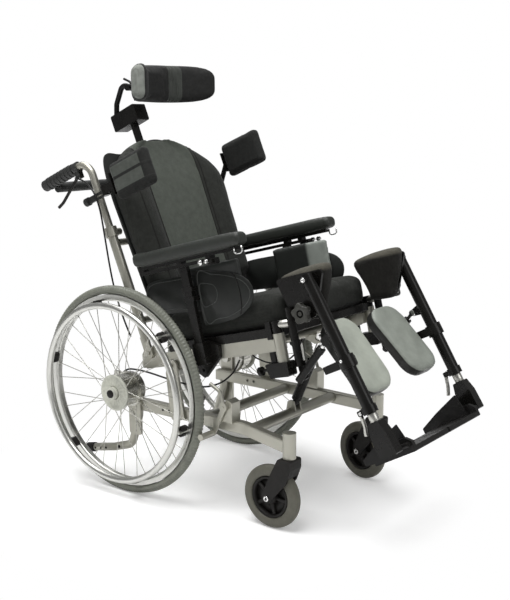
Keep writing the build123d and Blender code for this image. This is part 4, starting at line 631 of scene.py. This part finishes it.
pad("seat_cushion_pad", rounded_block(SEAT_HALF, 0.024), seat_place, "fabric", "seat", "seat_cushion")

# back cushion: a crowned middle panel between two rolled bolsters, arched at the top
SHELL_FRONT, SHELL_HALF, SHELL_SHOULDER, SHELL_TOP = 0.060, 0.226, 0.430, 0.612
BACK_LOW, BACK_TOP, BACK_SHY = 0.143, 0.606, 0.004     # shy: how far the cushion stays inside the shell


def back_half(up_by):
    """Half width of the back at a height up the tubes."""
    if up_by <= SHELL_SHOULDER:
        return SHELL_HALF - (SHELL_SHOULDER - up_by) * BACK_SPREAD - BACK_SHY
    rise = (up_by - SHELL_SHOULDER) / (SHELL_TOP - SHELL_SHOULDER)
    return (SHELL_HALF - BACK_SHY) * max(0.0, 1 - rise ** 2.2) ** 0.5


def back_depth(share, up_by):
    """Thickness of the back cushion at a share of the half width, -1 to 1."""
    side = abs(share)
    thick = 0.040 + 0.004 * (1 - side ** 2) + 0.024 * bell(side - 0.80, 0.20)
    fade = 1 - 0.62 * smooth_step(0.47, BACK_TOP, up_by)
    return thick * fade * (0.62 + 0.38 * smooth_step(BACK_LOW, 0.175, up_by))


def back_place(v):
    share, u, f = v
    up_by = BACK_LOW + (BACK_TOP - BACK_LOW) * (u + 1) / 2
    half = back_half(min(up_by, SHELL_TOP - BACK_SHY))
    front = SHELL_FRONT + 0.0006 + back_depth(share, up_by) * (f + 1) / 2
    return on_back(up_by, front, share * half)


def back_pin(at):
    """Holds the back cushion along its rear face and its seams."""
    base = on_seat(*RECLINE_PIVOT)
    y, z = at.y - base.y, at.z - base.z
    up_by = y * sin(BACK_LEAN) + z * cos(BACK_LEAN)
    front = -y * cos(BACK_LEAN) + z * sin(BACK_LEAN)
    share = at.x / max(back_half(min(up_by, SHELL_TOP - BACK_SHY)), 0.02)
    rear = 1 - smooth_step(0.004, 0.012, front - SHELL_FRONT)
    return max(rear, bell(abs(share) - SEAM_SHARE, 0.03))


pad("back_cushion_pad", rounded_block((1.0, 1.0, 1.0), 0.16, 0.06), back_place, "back", "back",
    "back_cushion", 0.007, back_pin)

# headrest: a winged pad in three parts
HEAD_Y, HEAD_Z = REAR_AXLE_Y + 0.093, 1.166
HEAD_HALF = (0.162, 0.027, 0.0535)
HEAD_SEAMS = (0.036, 0.079)


def head_place(v):
    x, y, z = v
    bend = -0.088 * smooth_step(0.045, 0.16, abs(x))
    tall = 1 - 0.10 * smooth_step(0.10, 0.16, abs(x))
    if x > 0.06:
        tall = 0.30 + 0.70 * max(0.0, 1 - ((x - 0.06) / 0.103) ** 3.0) ** 0.5
    return Vector((x, HEAD_Y + y + bend, HEAD_Z + z * tall))


def head_pin(at):
    return max(bell(at.x - edge, 0.006) for edge in HEAD_SEAMS)


pad("headrest_cushion", rounded_block(HEAD_HALF, 0.022, FINE), head_place, "head", "headrest",
    "headrest_pad", 0.004, head_pin)

# lateral pads
LATERAL_HALF = (0.016, 0.073, 0.052)
for side, hand in SIDES:
    def lateral_place(v, side=side, hand=hand):
        return on_back(LATERAL_U[hand] + v.z, LATERAL_F + v.y, side * (LATERAL_X + v.x))

    pad(f"lateral_cushion_{hand}", rounded_block(LATERAL_HALF, 0.012, FINE), lateral_place,
        f"lateral_{hand}", f"lateral_{hand}", f"lateral_pad_{hand}", 0.0015)

# armrest pads and the wedge-shaped hip pads below them
ARM_RAISE = {"right": 0.0, "left": 0.008}
ARM_SHIFT = {"right": 0.0, "left": -0.050}
ARM_MID, ARM_BASE, ARM_X, ARM_HALF = 0.172, 0.2848, 0.248, (0.0245, 0.192, 0.0178)
HIP_MID, HIP_BASE, HIP_X = 0.2125, 0.2065, 0.2178
HIP_HALF, HIP_INNER = (0.0180, 0.0915, 0.0505), 0.0185
for side, hand in SIDES:
    def arm_place(v, side=side, hand=hand):
        x, f, h = v
        nose = smooth_step(0.12, ARM_HALF[1], f)
        crown = 0.0022 * (1 - (x / ARM_HALF[0]) ** 2) * (h > 0)
        low_rear = 0.004 * smooth_step(-0.15, -ARM_HALF[1], f)
        above = ARM_RAISE[hand] + ARM_BASE + ARM_HALF[2] + h * (1 - 0.10 * nose) + crown + low_rear
        return on_seat(ARM_MID + ARM_SHIFT[hand] + f, above, side * ARM_X + x * (1 - 0.06 * nose))

    pad(f"armrest_cushion_{hand}", rounded_block(ARM_HALF, 0.0125, FINE), arm_place, "pad",
        f"armrest_{hand}", f"armrest_pads_{hand}", 0.001)

    def hip_place(v, side=side, hand=hand):
        x, f, h = v
        wide = 1 - 0.62 * smooth_step(0.035, 0.0925, f)
        return on_seat(HIP_MID + f, ARM_RAISE[hand] + HIP_BASE + h,
                       side * (HIP_X - (HIP_INNER - x) * wide))

    pad(f"hip_cushion_{hand}", rounded_block(HIP_HALF, 0.006, FINE), hip_place, f"hip_{hand}",
        f"armrest_{hand}", f"armrest_pads_{hand}", 0.001)

# knee pads: broad at the top, drawn in to the bottom
KNEE_X, KNEE_BASE, KNEE_HALF = 0.17935, 0.1295, (0.0218, 0.075, 0.066)
for side, hand in SIDES:
    def knee_place(v, side=side):
        x, f, h = v
        t, share = (h + KNEE_HALF[2]) / (2 * KNEE_HALF[2]), f / KNEE_HALF[1]
        rear = 0.444 - 0.034 * smooth_step(0, 1, t) - 0.004 * t
        front = 0.516 + 0.042 * smooth_step(-0.1, 1.0, t)
        mid, half = (rear + front) / 2, (front - rear) / 2
        crown = (0.004 * (1 - share ** 2) * (h > 0.03)
                 + 0.008 * share * smooth_step(0.0, KNEE_HALF[2], h))
        return on_seat(mid + half * share, KNEE_BASE + h * 0.97 + crown, side * (KNEE_X + x))

    pad(f"knee_cushion_{hand}", rounded_block(KNEE_HALF, 0.014, FINE), knee_place, "knee",
        f"legrest_{hand}", f"knee_pad_{hand}", 0.002)

# calf pads: a light moulded front on a dark back
CALF_HALF, CALF_REAR = (0.072, 0.110, 0.0185), -0.0203


def oval_block(half, corner, edge):
    """A flat pad about the origin: its outline in X and Y has large corners, its rim is rounded."""
    def rounded_off(v):
        core = Vector((max(corner - half[0], min(half[0] - corner, v.x)),
                       max(corner - half[1], min(half[1] - corner, v.y))))
        out = Vector((v.x, v.y)) - core
        reach = max(abs(out.x), abs(out.y))
        flat = core + (out.normalized() * reach if out.length > 1e-9 else out)
        return Vector((flat.x, flat.y, v.z))

    return moved(rounded_block(half, edge, FINE), rounded_off)


for side, hand in SIDES:
    def calf_place(v, side=side, hand=hand):
        share = min(1.0, (v.x / CALF_HALF[0]) ** 2 * 0.6 + (v.y / CALF_HALF[1]) ** 2 * 0.4)
        crown = (0.0035 * (1 - share) - 0.002) * (v.z > 0)
        return on_calf(hand, v.y, v.z - 0.0012 + crown, side * CALF_X + v.x)

    pad(f"calf_cushion_{hand}", oval_block(CALF_HALF, 0.050, 0.009), calf_place,
        f"calf_{hand}", f"calf_pad_{hand}", None, 0.0012)

    # saddle plate behind the pad, with its two eyes on the bar
    saddle = [moved(rounded_block((0.040, 0.035, 0.002), 0.0015, 0.01),
                    lambda v: on_calf(hand, v.y, CALF_REAR - 0.002 + v.z, side * CALF_X + v.x))]
    bar = on_leg(0.218, -0.083)
    for eye in (CALF_X - 0.022, CALF_X + 0.022):
        x = side * eye
        saddle.append(lathe([(-0.006, 0.0063), (-0.006, 0.010), (0.006, 0.010), (0.006, 0.0063)],
                            (x, bar.y, bar.z), ACROSS, 24))
        saddle.append(moved(rounded_block((0.006, 0.008, 0.009), 0.0015, FINE),
                            lambda v: on_calf(hand, v.y, CALF_REAR - 0.010 + v.z, x + v.x)))
    new_piece(f"calf_saddle_{hand}", merged(*saddle), "black", f"calf_pad_{hand}",
              f"calf_pad_{hand}")

# -------------------- wheels
WHEEL_Z, TYRE_R, WHEEL_X = 0.305, 0.013, 0.268
TYRE_RIBS, TYRE_EDGE = 190, 143                  # round the tyre, and degrees from crown to bead
RIB_FROM, RIB_TO, RIB_DEPTH = 10, 76, 0.0020     # degrees from the crown
HUB_RIBS, BRACKETS = 20, 6
CAP_X, BUTTON_X = 0.3005, 0.3150
RIB_AT, BRACKET_AT = (0.3006, 0, 0.0346), (0.2935, 0.261, 0)
WHEEL_MID = Vector((0, REAR_AXLE_Y, WHEEL_Z))
HUB_CAP = [(0, 0), (0, 0.0188), (0.0120, 0.0184), (0.0146, 0.0160), (0.0148, 0.0)]
HUB_BUTTON = [(0, 0), (0, 0.0118), (0.0036, 0.0116), (0.0048, 0.0102), (0.0052, 0.0)]
HUB_PLATE = [(0.2952, 0.0524), (0.3006, 0.0524), (0.3014, 0.0514), (0.3014, 0.0456), (0.3004, 0.0446),
             (0.3004, 0.0246), (0.3016, 0.0236), (0.3016, 0.0180), (0.2952, 0.0180)]


def tyre_shape(x):
    """Tyre with fine shoulder ribs and grooves along its tread."""
    verts = []
    around, across = TYRE_RIBS * 4, 34
    ring = WHEEL_Z - TYRE_R
    for i in range(around):
        turn = 2 * pi * i / around
        for k in range(across):
            angle = (2 * k / (across - 1) - 1) * radians(TYRE_EDGE)
            spot = abs(math.degrees(angle))
            radius = TYRE_R
            if RIB_FROM < spot < RIB_TO and i % 4 not in (1, 2):
                radius -= RIB_DEPTH
            for groove in (0, 11):
                radius -= 0.0007 * bell(spot - groove, 2.4)
            reach = ring + radius * cos(angle)
            verts.append(Vector((x + radius * sin(angle), REAR_AXLE_Y + reach * cos(turn),
                                 WHEEL_Z + reach * sin(turn))))
    return verts, ring_faces(around, across, True)


for side, hand in SIDES:
    wheel = f"rear_wheel_{hand}"
    new_piece(f"rear_tyre_tread_{hand}", tyre_shape(side * WHEEL_X), "tyre", wheel,
              f"rear_tyre_{hand}")
    cap = lathe(HUB_CAP, (side * CAP_X, REAR_AXLE_Y, WHEEL_Z), (side, 0, 0), 40)
    new_piece(f"hub_cap_{hand}", cap, "hub", wheel)
    button = lathe(HUB_BUTTON, (side * BUTTON_X, REAR_AXLE_Y, WHEEL_Z), (side, 0, 0), 36)
    new_piece(f"hub_button_{hand}", button, "plastic", wheel)
    plate = [moved(ring_lathe(HUB_PLATE, 72), lambda v: mirrored(v, side))]
    plate += [spun(rounded_block((0.0007, 0.0009, 0.0104), 0.0005, 0.01),
                   mirrored(Vector(RIB_AT), side), 2 * pi * i / HUB_RIBS) for i in range(HUB_RIBS)]
    new_piece(f"hub_plate_{hand}", moved(merged(*plate), lambda v: v + WHEEL_MID), "hub", wheel)
    shoes = [spun(rounded_block((0.0125, 0.0066, 0.0145), 0.002, 0.008),
                  mirrored(Vector(BRACKET_AT), side), 2 * pi * (i + 0.25) / BRACKETS)
             for i in range(BRACKETS)]
    new_piece(f"handrim_brackets_{hand}", moved(merged(*shoes), lambda v: v + WHEEL_MID), "plastic",
              wheel)

# casters: a grey tyre on a dark hub with five spokes, and bright axle bolts
CASTER_STEM = (0.226, REAR_AXLE_Y - 0.559)
CASTER_R, CASTER_WIDE, CASTER_HUB, CASTER_TRAIL = 0.0875, 0.032, 0.058, 0.055
CASTER_YAW = {"right": 0.0, "left": radians(-12)}
CASTER_ROWS, CASTER_SPOKES = 17, 5
CASTER_RIM = [(-0.0125, 0.0578), (0.0125, 0.0578), (0.0138, 0.0560), (0.0138, 0.0515),
              (0.0105, 0.0490), (-0.0105, 0.0490), (-0.0138, 0.0515), (-0.0138, 0.0560)]
CASTER_CORE = [(-0.0155, 0.0056), (-0.0155, 0.0165), (-0.009, 0.020), (0.009, 0.020),
               (0.0155, 0.0165), (0.0155, 0.0056)]
CASTER_WEB = [(-0.002, 0.018), (0.002, 0.018), (0.002, 0.051), (-0.002, 0.051)]


def caster_tyre_profile():
    half, bead = CASTER_WIDE / 2, CASTER_HUB + 0.0030
    rows = [(-half + 0.0035, CASTER_HUB + 0.0004)]
    for step in range(-CASTER_ROWS, CASTER_ROWS + 1):
        angle = step / CASTER_ROWS * radians(90)
        across = half * math.copysign(abs(sin(angle)) ** 0.8, angle)
        radius = bead + (CASTER_R - bead) * abs(cos(angle)) ** 0.62
        for groove in (-0.0085, 0.0, 0.0085):
            radius -= 0.0008 * bell(across - groove, 0.0007)
        rows.append((across, radius))
    rows.append((half - 0.0035, CASTER_HUB + 0.0004))
    return rows


def bolt_head(radius, height):
    """A round bolt head along +X from the origin, with a socket in its face."""
    return lathe([(0, 0), (0, radius), (height * 0.8, radius), (height, radius * 0.86),
                  (height, radius * 0.5), (height * 0.45, radius * 0.46), (height * 0.45, 0.0)],
                 ORIGIN, ACROSS, 24)


for side, hand in SIDES:
    def wheel_spot(v, side=side, hand=hand):
        """A point of a caster wheel, given from its middle in its fork's own directions."""
        yaw, behind = CASTER_YAW[hand], CASTER_TRAIL + v.y
        return Vector((side * CASTER_STEM[0] + v.x * cos(yaw) - behind * sin(yaw),
                       CASTER_STEM[1] + v.x * sin(yaw) + behind * cos(yaw), CASTER_R + v.z))

    wheel = f"caster_wheel_{hand}"
    tyre = ring_lathe(caster_tyre_profile(), 96)
    new_piece(f"caster_tyre_{hand}", moved(tyre, wheel_spot), "caster", wheel, wheel)
    hub = [ring_lathe(CASTER_RIM, 72), ring_lathe(CASTER_CORE, 48), ring_lathe(CASTER_WEB, 60)]
    hub += [spun(rounded_block((0.0095, 0.0055, 0.018), 0.003, FINE), Vector((0, 0, 0.034)),
                 2 * pi * (k + 0.3) / CASTER_SPOKES) for k in range(CASTER_SPOKES)]
    new_piece(f"caster_hub_{hand}", moved(merged(*hub), wheel_spot), "plastic", wheel,
              wheel)
    heads = [moved(bolt_head(0.0078, 0.0042), lambda v: Vector((end * (0.0262 + v.x), v.y, v.z)))
             for end in (-1, 1)]
    new_piece(f"caster_bolts_{hand}", moved(merged(*heads), wheel_spot), "chrome",
              f"caster_fork_{hand}")

# legrests: bright sleeve of the foot tube, knee bolts, and the bar of the hanger
LEG_X = 0.230


def sleeve(long, bore, radius, place, direction, steps):
    """A bright sleeve about a tube, with eased rims, from a point and in a direction."""
    rim = radius - 0.0004
    return lathe([(0, bore), (0, rim), (0.001, radius), (long - 0.001, radius), (long, rim),
                  (long, bore)], place, direction, steps)


for side, hand in SIDES:
    shiny = sleeve(0.0225, 0.0111, 0.0126, on_leg(0.3615, 0, side * LEG_X), DOWN_LEG, 40)
    new_piece(f"foot_sleeve_{hand}", shiny, "steel", f"foot_{hand}")
    heads = []
    for spot, radius in ((on_seat(*KNEE_PIVOT, side * (LEG_X + 0.0212)), 0.0062),
                         (on_leg(0.352, -0.024, side * 0.2392), 0.0045),
                         (on_leg(0.2185, 0.0, side * 0.2522), 0.0040)):
        heads.append(moved(bolt_head(radius, 0.0034), lambda v: spot + mirrored(v, side)))
    new_piece(f"leg_bolts_{hand}", merged(*heads), "chrome", f"leg_{hand}")
    arm_from, arm_to = on_seat(0.396, 0.069, side * 0.225), on_seat(0.436, 0.069, side * 0.214)
    run = (arm_to - arm_from).normalized()
    shiny = sleeve(0.0295, 0.0093, 0.0106, arm_from + run * 0.0045, run, 36)
    new_piece(f"hanger_sleeve_{hand}", shiny, "steel", f"legrest_{hand}")

# star knobs of the knee pads, and bright clamp levers at the ends of the leg tubes
KNOB_S, KNOB_H, KNOB_X = 0.482, 0.088, 0.221
KNOB_R, KNOB_LOBE, KNOB_LOBES, KNOB_STEPS = 0.0248, 0.0034, 5, 80
KNOB_PROFILE = (       # (out along X, share of the radius)
    (-0.0006, 0.70), (-0.0006, 0.97), (0.002, 1.0), (0.0125, 1.0), (0.0150, 0.95),
    (0.0164, 0.80), (0.0168, 0.46), (0.0150, 0.40), (0.0150, 0.24), (0.0172, 0.20))
LEVER_PATH = (         # (down the leg tube, in front of it, share of the turn inwards)
    (0.346, -0.024, 0), (0.352, -0.031, 0.1), (0.366, -0.0335, 0.4), (0.385, -0.038, 0.75),
    (0.403, -0.0458, 1.0), (0.4065, -0.0478, 1.05))
for side, hand in SIDES:
    verts = []
    for out, share in KNOB_PROFILE:
        for k in range(KNOB_STEPS):
            turn = 2 * pi * k / KNOB_STEPS
            lobe = cos(KNOB_LOBES * (turn - 0.6 * pi / KNOB_LOBES)) * smooth_step(0.4, 0.9, share)
            reach = (KNOB_R + KNOB_LOBE * lobe) * share
            verts.append(on_seat(KNOB_S + reach * cos(turn), KNOB_H + reach * sin(turn),
                                 side * (KNOB_X + out)))
    new_piece(f"knee_knob_{hand}", (verts, capped_faces(len(KNOB_PROFILE), KNOB_STEPS)), "knob",
              f"legrest_{hand}")
    lever = [on_leg(down, out, side * (LEG_X - 0.006 * turn)) for down, out, turn in LEVER_PATH]
    new_piece(f"foot_levers_{hand}", tube(lever, 0.0050, 12), "steel", f"leg_{hand}")

# armrests: knurled height screws and the clip at the front of the lower bar
SCREW = [(0, 0), (0, 0.0034), (0.002, 0.0034), (0.002, 0.0072), (0.0035, 0.0078), (0.0085, 0.0078),
         (0.0095, 0.0072), (0.0095, 0.0045), (0.012, 0.0042), (0.0122, 0.0)]
CLIP_PATH = ((0.338, 0.2845), (0.338, 0.270), (0.344, 0.266), (0.357, 0.266), (0.363, 0.270),
             (0.363, 0.2845))
for side, hand in SIDES:
    lift = ARM_RAISE[hand]
    screws = []
    for s, h in ((0.222, 0.2635), (0.243, 0.2625)):
        verts, faces = lathe(SCREW, ORIGIN, ACROSS, 28)
        for i, v in enumerate(verts):
            if i % 2 and 0.0068 < Vector((0, v.y, v.z)).length:
                verts[i] = Vector((v.x, v.y * 0.93, v.z * 0.93))
        spot = on_seat(s, lift + h, side * 0.2592)
        screws.append(moved((verts, faces), lambda v: spot + mirrored(v, side)))
    clip = [on_seat(ARM_SHIFT[hand] + s, lift + h, side * 0.2612) for s, h in CLIP_PATH]
    screws.append(tube(clip, 0.0021, 8))
    new_piece(f"armrest_screws_{hand}", merged(*screws), "chrome", f"armrest_{hand}")


def smooth_loop(points, steps=8):
    """A closed smooth curve through 2D points."""
    out, count = [], len(points)
    for i in range(count):
        a, b, c, d = (Vector(points[(i + k) % count]) for k in (-1, 0, 1, 2))
        for step in range(steps):
            q = step / steps
            out.append(0.5 * (2 * b + (c - a) * q + (2 * a - 5 * b + 4 * c - d) * q * q
                              + (3 * b - a - 3 * c + d) * q ** 3))
    return out


# skirt guards: the two moulded panels, and the raised lines on their outer faces
GUARD_RIM = ((0.166, 0.236), (0.215, 0.229), (0.268, 0.216), (0.311, 0.197), (0.331, 0.165),
             (0.310, 0.134), (0.256, 0.113), (0.205, 0.109), (0.166, 0.109))
GUARD_EYE = ((0.166, 0.206), (0.195, 0.206), (0.215, 0.198), (0.222, 0.180), (0.214, 0.158),
             (0.194, 0.150), (0.166, 0.150))
GUARD_REAR = ((-0.028, 0.216), (0.0, 0.233), (0.060, 0.233), (0.138, 0.227), (0.141, 0.190),
              (0.140, 0.148), (0.060, 0.156), (-0.036, 0.160))
GUARD_FRONT = ((0.160, 0.236), (0.172, 0.2455), (0.220, 0.236), (0.272, 0.2245), (0.318, 0.206),
               (0.339, 0.180), (0.338, 0.152), (0.318, 0.126), (0.282, 0.107), (0.240, 0.099),
               (0.172, 0.097), (0.156, 0.106), (0.154, 0.170))
GUARD_BACK = ((-0.040, 0.190), (-0.033, 0.222), (-0.012, 0.239), (0.050, 0.2415), (0.132, 0.2375),
              (0.146, 0.226), (0.149, 0.190), (0.149, 0.150), (0.136, 0.139), (0.060, 0.144),
              (-0.030, 0.150), (-0.043, 0.162))
GUARD_STRIP = ((0.139, 0.232), (0.167, 0.232), (0.167, 0.138), (0.139, 0.138))
GUARD_FACE = 0.2231


def plate_piece(loop, inner, outer, place, bevel=0.0012):
    """A plate between two planes of X, with its rims bevelled, from a loop of 2D points."""
    middle = sum(loop, Vector((0, 0))) / len(loop)
    verts = []
    for x, inset in ((inner, bevel), (inner + bevel, 0), (outer - bevel, 0), (outer, bevel)):
        verts += [place(point + (middle - point).normalized() * inset, x) for point in loop]
    return verts, capped_faces(4, len(loop))


for side, hand in SIDES:
    lift = ARM_RAISE[hand]

    def guard_place(point, x, side=side, lift=lift):
        return on_seat(point.x, lift + point.y, side * x)

    plates = [plate_piece(smooth_loop(GUARD_FRONT, 6), 0.219, 0.223, guard_place),
              plate_piece(smooth_loop(GUARD_BACK, 6), 0.219, 0.223, guard_place),
              plate_piece([Vector(at) for at in GUARD_STRIP], 0.2191, 0.2215, guard_place, 0.0004)]
    new_piece(f"guard_panel_{hand}", merged(*plates), "guard", f"armrest_{hand}",
              f"skirt_guard_{hand}")
    # the raised lines are coloured lighter than the panel: painted highlight along their lit ridges
    lines = [tube([guard_place(point, GUARD_FACE) for point in smooth_loop(loop)], 0.0009, 6, True)
             for loop in (GUARD_RIM, GUARD_EYE, GUARD_REAR)]
    new_piece(f"guard_outline_highlight_{hand}", merged(*lines), "line", f"armrest_{hand}")
    # black arc on the guard face: painted shade standing for the shade in the moulded groove
    bend = [on_seat(0.282 + 0.016 * cos(a), lift + 0.166 + 0.056 * sin(a), side * GUARD_FACE)
            for a in [radians(-74 + 148 * k / 20) for k in range(21)]]
    new_piece(f"guard_groove_shade_{hand}", tube(bend, 0.0018, 6), "black", f"armrest_{hand}")

# tipping tubes: black plugs in their ends, and dark cylinders across them as painted shade for the
# holes along them
PLUG = [(-0.014, 0.0126), (-0.014, 0.0139), (-0.011, 0.0149), (0.0180, 0.0149), (0.0207, 0.0132),
        (0.0212, 0.0)]
HOLE_LONG = 0.0135                       # half the length of a hole's plug
for side, hand in SIDES:
    tail = Vector((side * 0.200, REAR_AXLE_Y + 0.205, 0.074))
    ahead = Vector((0, 0.095, -0.020)).normalized()
    new_piece(f"tipping_plug_{hand}", lathe(PLUG, tail, ahead, 36), "plastic", "chassis")
    # each hole is a black cylinder across the tube: painted shade inside the hole
    holes = []
    for back_by, wide, off in ((-0.023, 0.0034, 0), (-0.047, 0.0034, 0), (-0.071, 0.0034, 0),
                               (-0.125, 0.0048, 0.004)):
        spot = tail + ahead * back_by + Vector((0, -off, off))
        holes.append(lathe([(-HOLE_LONG, 0.0), (-HOLE_LONG, wide), (HOLE_LONG, wide), (HOLE_LONG, 0.0)],
                           spot, ACROSS, 24))
    new_piece(f"tipping_holes_shade_{hand}", merged(*holes), "plastic", "chassis")


def lay_on(obj, path, ahead):
    """The points of a path moved along a direction onto a piece's surface."""
    tree = BVHTree.FromObject(obj, bpy.context.evaluated_depsgraph_get())
    laid = []
    for point in path:
        hit = tree.ray_cast(point - ahead * 0.12, ahead)[0]
        if hit:
            laid.append(hit)
    return laid


swell_pads()
finish_pads()

# seams of the back cover, laid on the cushion's face
SEAM_STEPS, SEAM_R = 75, 0.0016
cover = bpy.data.objects["back_cushion_pad"]
seams = []
for share in (-SEAM_SHARE, SEAM_SHARE, SEAM_SHARE + 0.045, -SEAM_SHARE - 0.30):
    line = []
    for step in range(SEAM_STEPS + 1):
        up_by = BACK_LOW + 0.012 + (0.590 - BACK_LOW) * step / SEAM_STEPS
        half = BACK_NARROW + BACK_SPREAD * up_by
        if abs(share) * half < back_half(up_by) - 0.012:
            line.append(on_back(up_by, SHELL_FRONT + 0.05, share * half))
    seams.append(tube(lay_on(cover, line, -OFF_BACK), SEAM_R, 6))
new_piece("back_seams", merged(*seams), "plastic", "back")


# -------------------- floor, backdrop and light
FLOOR_HALF, FLOOR_LIFT = 30.0, 0.22
FLOOR_MIDDLE, FLOOR_NEAR, FLOOR_FAR = (0.0, 0.12, 0.0), 0.48, 0.78
AMBIENT, MIRRORED = 0.38, 0.30


def stage_material():
    """Pale floor that holds the shadow near the chair and fades into the white background."""
    m = Nodes("pale_floor", (0.9, 0.9, 0.9), 0.9, Specular_IOR_Level=0.0)
    seen = m.node("ShaderNodeLightPath", {}).outputs["Is Camera Ray"]
    place = m.node("ShaderNodeNewGeometry", {}).outputs["Position"]
    reach = m.node("ShaderNodeVectorMath", {0: place, 1: FLOOR_MIDDLE}, operation="DISTANCE")
    inputs = {"Value": reach.outputs["Value"], "From Min": FLOOR_NEAR, "From Max": FLOOR_FAR}
    far = m.node("ShaderNodeMapRange", inputs, interpolation_type="SMOOTHSTEP").outputs["Result"]
    glow = m.node("ShaderNodeEmission", {"Strength": m.math("MULTIPLY", seen, FLOOR_LIFT)})
    near = m.node("ShaderNodeAddShader", {0: m.bsdf.outputs[0], 1: glow.outputs[0]})
    white = m.node("ShaderNodeEmission", {})
    mix = m.node("ShaderNodeMixShader", {0: m.math("MULTIPLY", far, seen), 1: near.outputs[0],
                                         2: white.outputs[0]})
    m.tree.links.new(mix.outputs[0], m.tree.nodes["Material Output"].inputs["Surface"])
    return m.mat


def make_floor():
    mesh = bpy.data.meshes.new("floor")
    corners = [(x * FLOOR_HALF, y * FLOOR_HALF, 0) for x, y in ((-1, -1), (1, -1), (1, 1), (-1, 1))]
    mesh.from_pydata(corners, [], [(0, 1, 2, 3)])
    floor = add("floor", mesh)
    mesh.materials.append(stage_material())


def make_world():
    """White to the camera, and one grey for diffuse light and another for reflections."""
    world = bpy.data.worlds.new("studio")
    bpy.context.scene.world = world
    world.use_nodes = True
    tree = world.node_tree
    background = tree.nodes["Background"]
    paths = tree.nodes.new("ShaderNodeLightPath")
    level = None
    for output, grey in (("Is Glossy Ray", MIRRORED), ("Is Camera Ray", 1.0)):
        step = tree.nodes.new("ShaderNodeMix")
        tree.links.new(paths.outputs[output], step.inputs["Factor"])
        step.inputs["A"].default_value = AMBIENT
        if level:
            tree.links.new(level, step.inputs["A"])
        step.inputs["B"].default_value = grey
        level = step.outputs["Result"]
    background.inputs["Color"].default_value = (1, 1, 1, 1)
    tree.links.new(level, background.inputs["Strength"])


def area_light(name, place, aim, size, power):
    lamp = bpy.data.lights.new(name, "AREA")
    lamp.shape = "RECTANGLE"
    lamp.size, lamp.size_y = size
    lamp.energy = power
    obj = add(name, lamp)
    obj.location = place
    obj.rotation_mode = "QUATERNION"
    obj.rotation_quaternion = (Vector(aim) - Vector(place)).to_track_quat("-Z", "Y")


make_floor()
make_world()
area_light("key", (-0.9, 0.1, 3.9), (0, 0, 0.4), (2.6, 2.6), 150)
area_light("front", (-0.4, -3.6, 2.4), (0, 0, 0.5), (2.0, 1.6), 28)
area_light("back", (1.1, 1.9, 3.5), (0, 0, 0.6), (2.0, 1.6), 42)
